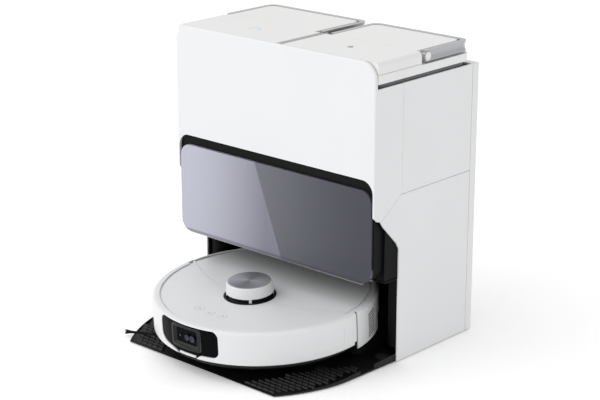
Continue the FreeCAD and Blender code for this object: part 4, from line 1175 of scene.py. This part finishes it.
# %% Rear wall with its slanted vents
VENT_ANGLE, VENT_SLANT = 109.5, math.radians(9)
VENTS, FIRST_VENT_Z, VENT_STEP = 8, 27.5, 5
rear = lathe("white_rear_wall", wall_profile(18.4, 168.2), 169.6, 95.2, fine=1)
vents = []
for side in (-1, 1):
    for index in range(VENTS):
        slot = block("vent_slot", (-12, -12.5, -1.15), (12, 12.5, 1.15))
        round_edges(slot, 1.1, along("X"), 4)
        spot = (*polar((0, 0), RADIUS, VENT_ANGLE), FIRST_VENT_Z + index * VENT_STEP)
        slot.data.transform(
            Matrix.Translation(spot) @ Matrix.Rotation(math.radians(VENT_ANGLE - 90), 4, "Z")
            @ Matrix.Rotation(VENT_SLANT, 4, "X"))
        if side < 0:
            flip_sides(slot)
        vents.append(slot)
carve(rear, *vents)
print("rear wall with", len(vents), "slots")

# %% Dark gloss filling set into the slots, just under the wall's face
slot_filler = merge(*[lathe("vent_screen", corners(170.4, 174.6, 23, 70), 18, side * VENT_ANGLE - 9)
                 for side in (-1, 1)])
carve(slot_filler, twin(rear))
soften(rear, 0.3, 2, 38)
fit(rear, ROBOT, "robot", white_robot, ["rear_shell"], 30)
fit(slot_filler, ROBOT, "robot", black_gloss)

# %% [markdown]
# ## Camera window
# A gloss black skin fills the opening. In its middle stands a framed block with a
# bevelled mouth, and behind the mouth two lenses sit side by side in the right half.
# The skin is a turned band kept only where the opening's outline lies, so both share
# one outline with a hair of clearance.

# %% Window skin
def shrunk(points, by):
    """The same outline drawn in towards its middle."""
    cx = sum(x for x, _ in points) / len(points)
    cz = sum(z for _, z in points) / len(points)
    return [(x - math.copysign(min(by, abs(x - cx)), x - cx),
             z - math.copysign(min(by, abs(z - cz)), z - cz)) for x, z in points]


skin = lathe("window_skin", [
    (166, 22), (172.4, 22), (173.4, 40), (173.9, 70), (173.6, 80), (166, 80)], 46, -23, fine=1)
shape = facing("skin_shape", shrunk(WINDOW, 0.25), -200, -120, 3.6, 6)
carve(skin, shape, operation="INTERSECT")
mouth = facing("mouth_cut", corners(-27.5, 27.5, 40.8, 72.4), -200, -120)
bar_cut = facing("bar_cut", BAR, -200, -172.4, 1.6, 4)
carve(skin, mouth, bar_cut)
soften(skin, 0.5, 3, 40)
fit(skin, ROBOT, "bumper", black_gloss, ["camera_window"], 30)

# %% Framed camera block
frame_block = facing("camera_frame", corners(-29.6, 29.6, 38.7, 74.4), -190, -164, 5.5, 7)
shell = lathe("frame_shell", [
    (160, 30), (174.3, 30), (175.7, 40), (175.7, 80), (160, 80)], 40, -20, fine=1)
carve(frame_block, shell, operation="INTERSECT")
funnel = facing("frame_funnel", corners(-20, 20, 46.4, 68.6), -170.6, -169, 3, 5)
with editing(funnel, pick="DESELECT"):
    choose(funnel, lambda middle, normal: normal.y < -0.9)
    bpy.ops.mesh.extrude_region_move(TRANSFORM_OT_translate={"value": (0, -3.4, 0)})
    bpy.ops.transform.resize(value=(1.28, 1, 1.3), center_override=(0, 0, 57.1))
    bpy.ops.mesh.extrude_region_move(TRANSFORM_OT_translate={"value": (0, -6, 0)})
carve(frame_block, funnel)
soften(frame_block, 0.8, 3, 40)
fit(frame_block, ROBOT, "bumper", camera_black, ["camera_module"], 30)

# %% Panel behind the lenses
panel = facing("lens_panel", corners(-21.5, 21.5, 45, 70), -170.9, -168, 3, 5)
inset(panel, lambda middle, normal: normal.y < -0.9, (2.4, 0), (0.4, -0.8))
soften(panel, 0.2, 2, 40)
fit(panel, ROBOT, "bumper", black_gloss)

# %% Fine moulded rim of the camera block
rim_line = facing("camera_rim_line", corners(-30.1, 30.1, 38.3, 74.8), -190, -160, 5.7, 7)
line_shell = lathe("line_shell", [
    (170, 30), (173.4, 30), (174.9, 40), (174.9, 80), (170, 80)], 40, -20, fine=1)
carve(rim_line, line_shell, operation="INTERSECT")
inner = facing("line_cut", corners(-29.5, 29.5, 38.8, 74.3), -200, -120, 5.3, 7)
carve(rim_line, inner)
fit(rim_line, ROBOT, "bumper", motor_grey)

# %% Lenses
def lens_barrel(name, x, z, radius):
    """A stepped barrel round a domed glass, turned about the viewing direction."""
    barrel = drum(name, radius, -173.4, -168.6, (x, z), 48, "Y")
    inset(barrel, lambda middle, normal: normal.y < -0.9,
          (0.9, 0), (0.5, -0.9), (0.9, 0), (0.6, -0.8), (0.8, 0.5))
    return soften(barrel, 0.2, 2, 40)


for index, (x, radius) in enumerate(((2.5, 4.6), (13.4, 5.2))):
    barrel = lens_barrel(f"camera_lens_{index}", x, 57, radius)
    fit(barrel, ROBOT, "bumper", lens_glass)
fill_lamp = drum("fill_light", 1.7, -172, -168.6, (-12.5, 57), 32, "Y")
fit(fill_lamp, ROBOT, "bumper", lens_glass)

# %% [markdown]
# ## Light bar
# A frosted strip under the camera glows softly. Its glow is uneven along its length,
# brighter over the lamps hidden behind it, so the emission follows a slow wave in X.

# %% Frosted light bar
def glow_finish():
    paint = Paint("light_strip")
    across, _, _ = paint.axes()
    lamps = (across * 620).wave() * 0.5 + 0.5
    frost = paint.noise(1400, 2)
    paint.finish(
        Base_Color=paint.blend(frost * 0.4, grey(0.7), grey(0.5)),
        Roughness=0.5 + frost * 0.15,
        Emission_Color=paint.blend(lamps, (0.5, 0.5, 0.52, 1), (0.8, 0.8, 0.82, 1)),
        Normal=paint.bump(frost, 0.2, 0.0001))
    paint.finish(Emission_Strength=0.12)
    return paint.material


light_strip = glow_finish()
bar = lathe("light_bar_strip", [
    (171, 28.9), (174.6, 28.9), (174.9, 29.6), (174.9, 31.8), (174.6, 32.5), (171, 32.5)],
    10.9, -4.4, fine=0.5)
soften(bar, 0.3, 2, 40)
fit(bar, ROBOT, "bumper", light_strip, ["light_bar"])

# %% [markdown]
# ## Top covers, buttons and turret
# The top is one disc, split by a curved seam into a fixed front part and a lid that
# lifts off. Its edge is stepped down into a shallow channel beside the rim. Three
# buttons sit in a shallow curved groove. Both parts are turned from the same profile,
# and each keeps only its side of the seam.

# %% The disc and its two parts
DISC = [(0, 76.2), (167.4, 76.2), (167.4, 76.9), (161.2, 76.9), (161.2, 78), (160.8, 78.4),
        (0, 78.4)]
BUTTON_ARC, SEAM_MIDDLE, HUB = 120.5, (0, 232.6), (0, SCANNER_Y)
SPOTS = [polar((0, 0), BUTTON_ARC, angle) for angle in (-11.3, 0, 11.3)]
front_top = lathe("front_top", DISC)
seam_cut = drum("seam_cut", 276.2, 60, 100, SEAM_MIDDLE, 256)
socket_cut = drum("socket_cut", 41, 60, 100, HUB)
button_cuts = [drum("button_cut", 7.4, 60, 100, spot, 48) for spot in SPOTS]
groove = lathe("button_groove", corners(111.6, 129.4, 78.1, 90), 23, -11.5, fine=1)
merge(groove, *[drum("groove_end", 8.9, 78.1, 90, polar((0, 0), BUTTON_ARC, angle), 48)
                for angle in (-11.5, 11.5)])
carve(front_top, seam_cut, socket_cut, groove, *button_cuts)
soften(front_top, 0.25, 2, 38)
fit(front_top, ROBOT, "robot", white_robot, ["front_cover"], 30)

rear_top = lathe("rear_top", DISC)
carve(rear_top, drum("lid_keep", 275.8, 60, 100, SEAM_MIDDLE, 256), operation="INTERSECT")
carve(rear_top, drum("lid_socket", 41, 60, 100, HUB))
soften(rear_top, 0.25, 2, 38)
fit(rear_top, ROBOT, "rear_lid", white_robot, ["rear_lid"], 30)

# %% Buttons with their marks
MARKS = (("left", 0, 360), ("power", 205, 310), ("right", 45, 270))
for (name, start, sweep), spot in zip(MARKS, SPOTS):
    button = drum(f"{name}_button", 7, 74.9, 78.35, spot, 56)
    inset(button, lambda middle, normal: normal.z > 0.9, (0.8, 0), (2.4, -0.15))
    soften(button, 0.2, 3, 40)
    fit(button, ROBOT, f"button_{name}", white_robot, [f"button_{name}"])
    mark = ring(f"{name}_mark", 1.7, 2.45, spot, 78.0, 78.26, sweep, start)
    fit(mark, ROBOT, f"button_{name}", faint_ink)

# %% Turret socket, scanner, cap and spun disc
socket = lathe("turret_collar", [
    (34.9, 68.6), (40.4, 68.6), (40.4, 78.6), (39.8, 79.1), (37.8, 79.1), (36.4, 78.4),
    (35.3, 77), (34.9, 75.5)], at=HUB)
well = lathe("collar_floor", corners(5.2, 40, 68.4, 70.2), at=HUB)
merge(socket, well)
fit(socket, ROBOT, "robot", scanner_black, ["turret_socket"])

rotor = lathe("scanner_drum", [
    (0, 60.6), (4.8, 60.6), (4.8, 71), (33, 71), (33.8, 71.8), (33.8, 78), (32.6, 79),
    (32.6, 83.6), (0, 83.6)], at=HUB)
eyes = [drum("scanner_eye", 2.6, -80, -60.4, (x, 81.3), 32, "Y") for x in (-9, 9)]
for eye in eyes:
    eye.data.transform(Matrix.Scale(0.75, 4, (0, 0, 1)) @ Matrix.Translation((0, 0, 27)))
carve(rotor, *eyes)
soften(rotor, 0.25, 2, 40)
fit(rotor, ROBOT, "scanner", scanner_black, ["turret_rotor"])

cap = lathe("turret_cap_shell", [
    (0, 84.4), (36.2, 84.4), (37, 85.2), (36.9, 87), (35.4, 99.4), (35, 100.9),
    (34.4, 101.6), (33.7, 101.7), (33.7, 100.4), (0, 100.4)], at=HUB)
pillar = block("pillar", (-1.1, -2.2, 79), (1.1, 2.2, 85))
round_edges(pillar, 0.8, along("Z"), 3)
turns = [Matrix.Translation((*polar(HUB, 35.4, angle), 0))
         @ Matrix.Rotation(math.radians(angle - 90), 4, "Z") for angle in (45, 135, 225, 315)]
merge(cap, scatter(pillar, turns, "turret_pillars"))
fit(cap, ROBOT, "robot", white_robot, ["turret_cap"])

disc = lathe("turret_badge", [
    (0, 100.5), (33.5, 100.5), (33.5, 101.7), (32.9, 102.3), (32, 102.4), (14, 102.2),
    (13.6, 102.1), (0, 102.1)], at=HUB)
fit(disc, ROBOT, "robot", brushed_disc, ["turret_disc"])


# %% [markdown]
# ## Underneath: pan, arms, caster and bearings
# The bottom pan and the machinery in it are small mouldings whose shapes the model
# already has right. Each gets welded edges with a small radius and its own finish. A
# full remodel would add time and no visible detail.

# %% Battery wrap and circuit board finishes
def board_finish():
    """Green solder mask over faint copper tracks on a square grid."""
    paint = Paint("board_green")
    across, along_y, height = paint.axes()
    depth = along_y + height * 0.7
    tracks = (across * 2400).wave() * (depth * 1900).wave()
    lines = tracks.smooth(0.35, 0.55)
    blotch = paint.noise(120, 2)
    colour = paint.blend(lines, (0.006, 0.06, 0.028, 1), (0.02, 0.13, 0.06, 1))
    return paint.finish(
        Base_Color=paint.blend(blotch.smooth(0.66, 0.7) * 0.8, colour, (0.5, 0.42, 0.2, 1)),
        Roughness=0.34 + lines * 0.2,
        Normal=paint.bump(lines, 0.2, 0.0001))


def wrap_finish():
    paint = Paint("battery_wrap")
    crease = paint.noise(60, 4, 0.65, (1, 1, 0.25))
    return paint.finish(
        Base_Color=paint.blend(crease, (0.02, 0.03, 0.05, 1), (0.035, 0.05, 0.08, 1)),
        Roughness=0.25 + crease * 0.2,
        Normal=paint.bump(crease, 0.25, 0.0004))


board_green = board_finish()
battery_wrap = wrap_finish()
print("board and battery finishes ready")

# %% Machinery inside the dock
DOCK_INSIDES = (
    ("power_inlet", "inlet_socket", black_housing, 0.4),
    ("suction_motor", "suction_motor_can", motor_grey, 1.6),
    ("water_pump", "water_pump_body", motor_grey, 1.2),
    ("dryer_fan", "dryer_fan_scroll", black_housing, 1.6),
    ("dock_board", "dock_circuit_board", board_green, 0.2),
    ("dust_duct", "dust_duct_pipe", black_housing, 0.8),
    ("dock_screws", "housing_screws", steel, 0.3),
)
for node, name, material, width in DOCK_INSIDES:
    fit(recast(node, name, width), WORLD, "dock", material, [node])

# %% Pan and machinery of the robot
ROBOT_INSIDES = (
    ("chassis", "bottom_pan", "robot", pan_black, 0.7),
    ("wheel_arms", "wheel_gearboxes", "drive_unit", motor_grey, 1.2),
    ("caster_fork", "caster_cup", "caster_fork", pan_black, 0.6),
    ("brush_frame", "brush_bearing_frame", "robot", motor_grey, 0.3),
    ("side_arm", "side_brush_arm", "side_arm", pan_black, 0.5),
    ("mop_plate", "mop_carrier", "mop", motor_grey, 0.6),
    ("dustbin", "robot_dust_bin", "robot", bin_smoke, 0.6),
    ("battery", "battery_pack", "robot", battery_wrap, 1.2),
    ("robot_board", "robot_circuit_board", "robot", board_green, 0.2),
)
for node, name, body, material, width in ROBOT_INSIDES:
    fit(recast(node, name, width), WORLD, body, material, [node])

# %% [markdown]
# ## Driving wheels
# A wheel is a rubber tyre with slanted treads on a spoked plastic hub. The tyre is a
# turned profile. One tread bar is copied round it, and the hub's spokes are cut by a
# copied wedge. It is built flat round an upright axis, then tipped onto its side.

# %% Tyre, treads and hub
def lay_over(piece, centre):
    """Tip a piece built round the Z axis so its axis points along X, and move it."""
    piece.data.transform(Matrix.Translation(centre) @ Matrix.Rotation(math.pi / 2, 4, "Y"))
    return piece


for side, word in SIDES:
    centre = (side * 118, 5, 36)
    tyre = lathe("tyre", [
        (27, -11), (31.5, -11), (33.4, -9.6), (34.2, -7), (34.2, 7), (33.4, 9.6), (31.5, 11),
        (27, 11)], fine=6)
    tread = block("tread_bar", (-1.5, -1, -10.2), (1.6, 1, 10.2))
    round_edges(tread, 0.5, lambda middle, run: abs(run.z) > 0.9 and middle.x > 0, 2)
    turns = [Matrix.Rotation(math.radians(12 * step), 4, "Z") @ Matrix.Translation((34.3, 0, 0))
             @ Matrix.Rotation(math.radians(9), 4, "X") for step in range(30)]
    merge(tyre, scatter(tread, turns, "treads"))
    tyre.name = f"tyre_{word}"
    fit(lay_over(tyre, centre), ROBOT, f"wheel_{word}", wheel_rubber)
    hub = lathe(f"hub_{word}", [
        (5.1, -9), (9, -9.6), (10, -6), (22, -5), (26, -9.5), (27.2, -9.5), (27.2, 9.5),
        (26, 9.5), (22, 6), (10, 8), (9, 10.4), (5.1, 10.4)], fine=6)
    wedges = []
    for step in range(5):
        wedge = drum("wedge", 4.6, -20, 20, (16.2, 0), 24)
        wedge.data.transform(Matrix.Rotation(math.radians(72 * step), 4, "Z"))
        wedges.append(wedge)
    carve(hub, *wedges)
    soften(hub, 0.4, 2, 40)
    lay_over(hub, centre)
    if side < 0:
        flip_sides(hub)
        hub.data.transform(Matrix.Translation((2 * centre[0], 0, 0)))
    fit(hub, ROBOT, f"wheel_{word}", motor_grey, [f"wheel_{word}"])

# %% Caster wheel
caster = lathe("caster_tyre", [
    (2.1, -5.8), (10.8, -5.8), (13, -4.8), (14, -2.6), (14, 2.6), (13, 4.8), (10.8, 5.8),
    (2.1, 5.8)], fine=6)
lay_over(caster, (0, -132, 14))
soften(caster, 0.3, 2, 40)
fit(caster, ROBOT, "caster_wheel", wheel_rubber, ["caster_wheel"])

# %% [markdown]
# ## Twin brushes
# Two rubber rollers turn against each other. Each has a core with swept fins. A straight
# fin would do for the mechanism, but a real fin is swept so it meets the floor a little
# at a time. The fin is a thin slab, sliced along its length and twisted.

# %% Rollers with swept fins
def roller(name, y):
    core = lathe(name, [
        (0, -77.2), (2.9, -77.2), (2.9, -75), (11, -75), (12.6, -73.5), (12.6, 73.5),
        (11, 75), (2.9, 75), (2.9, 77.2), (0, 77.2)], fine=10)
    half, slices = 74, 24
    fins = []
    for index in range(6):
        fin = block("fin", (11, -0.9, -half), (16.7, 0.9, half))
        slice_at(fin, [-half + 2 * half * cut / slices for cut in range(1, slices)])
        for vertex in fin.data.vertices:
            sweep = 0.9 * (1 - abs(vertex.co.z) / half)
            turn = math.radians(60 * index) + sweep
            x, y_part = vertex.co.x, vertex.co.y
            vertex.co.x = x * math.cos(turn) - y_part * math.sin(turn)
            vertex.co.y = x * math.sin(turn) + y_part * math.cos(turn)
        fins.append(fin)
    merge(core, *fins)
    return lay_over(core, (0, y, 21))


for word, y in (("front", -81), ("rear", -43)):
    fit(roller(f"brush_roller_{word}", y), ROBOT, f"brush_{word}", roller_rubber, [f"brush_{word}"])

# %% [markdown]
# ## Side brush
# Two tufts of stiff bristles sweep dust out of corners. Each bristle is a thin tapered
# rod with a slight bend. One is modelled, then copied into a fan with a small change of
# angle and reach for every copy, in a fixed order rather than at random.

# %% Bristle finish and tufts
def bristle_finish():
    paint = Paint("bristle")
    streak = paint.noise(800, 2)
    paint.finish(
        Base_Color=paint.blend(streak, grey(0.004), grey(0.014)),
        Roughness=0.45 + streak * 0.2)
    paint.finish(Specular_IOR_Level=0.15)
    return paint.material


bristle = bristle_finish()
TIP = (-103, -101)
TUFT_TURNS = (206, 26)
hub = lathe("side_brush_hub", [
    (0, 0.9), (4.6, 0.9), (6.4, 1.8), (6.9, 3.2), (6.9, 5.1), (3, 5.1), (3, 8.3), (0, 8.3)],
    at=TIP, fine=8)
arms = []
for turn in TUFT_TURNS:
    arm = block("tuft_holder", (4, -2.3, 1.2), (24, 2.3, 5.6))
    round_edges(arm, 1.2, along("X"), 3)
    arm.data.transform(Matrix.Translation((*TIP, 0)) @ Matrix.Rotation(math.radians(turn), 4, "Z"))
    arms.append(arm)
merge(hub, *arms)
fit(hub, ROBOT, "side_brush", pan_black, ["side_brush"])

HAIRS, HAIR_LENGTH = 60, 64
hair = drum("hair", 0.42, 0, HAIR_LENGTH, sides=5, top=0.2)
slice_at(hair, (20, 36, 48, 56, 61))
for vertex in hair.data.vertices:
    vertex.co.x += (vertex.co.z / HAIR_LENGTH) ** 9 * 2.2
places = []
for turn in TUFT_TURNS:
    for index in range(HAIRS):
        ray = index * 2.4
        spread = 1.7 * math.sqrt((index + 0.5) / HAIRS)
        reach = 0.95 + ((index * 5) % 9) / 9 * 0.05
        places.append(
            Matrix.Translation((*TIP, 3.7)) @ Matrix.Rotation(math.radians(turn), 4, "Z")
            @ Matrix.Translation((20, spread * math.sin(ray), -spread * math.cos(ray)))
            @ Matrix.Rotation(math.pi / 2, 4, "Y") @ Matrix.Rotation(ray, 4, "Z")
            @ Matrix.Scale(reach, 4))
tufts = scatter(hair, places, "side_brush_tufts")
fit(tufts, ROBOT, "side_brush", bristle)

# %% [markdown]
# ## Mop cloth
# The cloth is a D-shaped microfibre pad that grips the carrier. It is cut flat and held
# stretched, so it is a thin sheet with a soft rim. Its pile is a dense bump of short
# loops, woven in rows, over a slow change of tone where it has been washed.

# %% Microfibre finish
def mop_finish():
    paint = Paint("mop_fabric")
    across, along_y, _ = paint.axes()
    rows = (across * 1500).wave() * 0.5 + 0.5
    loops = paint.noise(1300, 3, 0.6)
    soil = paint.noise(22, 3)
    pile = rows * 0.4 + loops * 0.6
    return paint.finish(
        Base_Color=paint.blend(
            soil * 0.5 + pile * 0.3, (0.5, 0.51, 0.53, 1), (0.26, 0.27, 0.29, 1)),
        Roughness=0.85 + pile * 0.1,
        Normal=paint.bump(pile, 0.8, 0.0006))


mop_fabric = mop_finish()
reach, straight, half_steps = 151.6, 66.4, 28
half_angle = math.acos(straight / reach)
arc = [(reach * math.sin(half_angle * (step / half_steps - 1)),
        reach * math.cos(half_angle * (step / half_steps - 1)))
       for step in range(2 * half_steps + 1)]
cloth = push(outline("mop_cloth_pad", [(x, y, 8.2) for x, y in arc]), (0, 0, 3.2))
round_edges(cloth, 2, lambda middle, run: abs(run.z) > 0.99 and middle.y < 68, 4)
round_edges(cloth, 1.1, lambda middle, run: abs(run.z) < 0.1, 3)
fit(cloth, ROBOT, "mop", mop_fabric, ["mop_cloth"])
segment = (reach ** 2 * half_angle - straight * reach * math.sin(half_angle)) * MM ** 2
print("mop cloth", round(segment, 5), "square metres")

# %% [markdown]
# ## Dust bag
# The bag is a non-woven pouch on a stiff card collar. Blown air keeps it plump, so it is
# simulated as cloth under a little pressure from a slightly smaller block. How far any
# point may move is capped, which keeps it clear of the motor beside it.

# %% Non-woven finish
def bag_finish():
    paint = Paint("bag_fabric")
    across, _, height = paint.axes()
    fibres = paint.noise(900, 5, 0.7, (1, 1, 0.2))
    crossing = paint.noise(900, 5, 0.7, (0.2, 1, 1))
    dots = ((across * 1570).wave() * (height * 1570).wave()).smooth(0.55, 0.8)
    felt = fibres * 0.5 + crossing * 0.5
    return paint.finish(
        Base_Color=paint.blend(felt, (0.62, 0.61, 0.58, 1), (0.78, 0.77, 0.74, 1)),
        Roughness=0.82 + dots * 0.1,
        Normal=paint.bump(felt - dots * 0.6, 0.5, 0.0004))


bag_fabric = bag_finish()


# %% Inflate a pouch
def inflate(piece, pressure, cap):
    """Swell a closed mesh as cloth, with every point's travel capped, in metres."""
    use(piece)
    piece.data.remesh_voxel_size = 0.006
    bpy.ops.object.voxel_remesh()
    start = [vertex.co.copy() for vertex in piece.data.vertices]
    modifier = piece.modifiers.new("swelling", "CLOTH")
    modifier.settings.use_pressure = True
    modifier.settings.uniform_pressure_force = pressure
    modifier.settings.effector_weights.gravity = 0
    modifier.settings.quality = 4
    last = modifier.point_cache.frame_end = 20
    scene = bpy.context.scene
    for step in range(1, last + 1):
        scene.frame_set(step)
    depsgraph = bpy.context.evaluated_depsgraph_get()
    swollen = [vertex.co.copy() for vertex in piece.evaluated_get(depsgraph).data.vertices]
    piece.modifiers.remove(modifier)
    scene.frame_set(1)
    for vertex, old, new in zip(piece.data.vertices, start, swollen):
        move = new - old
        vertex.co = old + move * min(1, cap / max(move.length, 1e-9))
    return piece


pouch = rounded_block("dust_bag_pouch", (-76, -193, 167), (76, -131, 279), 22, "Y", 6)
round_edges(pouch, 12, lambda middle, run: abs(run.y) < 0.1, 4)
for vertex in pouch.data.vertices:
    if vertex.co.z < 200:
        vertex.co.y -= 2
pouch.data.transform(DOCK)
inflate(pouch, 4, 0.0065)
subdivide = pouch.modifiers.new("finer", "SUBSURF")
subdivide.levels = subdivide.render_levels = 1
apply_all(pouch)
fit(pouch, Matrix.Identity(4), "dock", bag_fabric, ["dust_bag"], 60)

# %% Card collar and heat-sealed rim of the bag
collar = rounded_block("bag_collar", (-47.6, -119.5, 176.4), (47.6, -116.8, 279.6), 8, "Y", 6)
neck = drum("bag_neck", 15.6, -136, -117.5, (0, 228), 48, "Y")
merge(collar, neck)
carve(collar, drum("neck_hole", 13, -150, -110, (0, 228), 48, "Y"))
soften(collar, 0.4, 2, 40)
fit(collar, DOCK, "dock", bag_fabric)
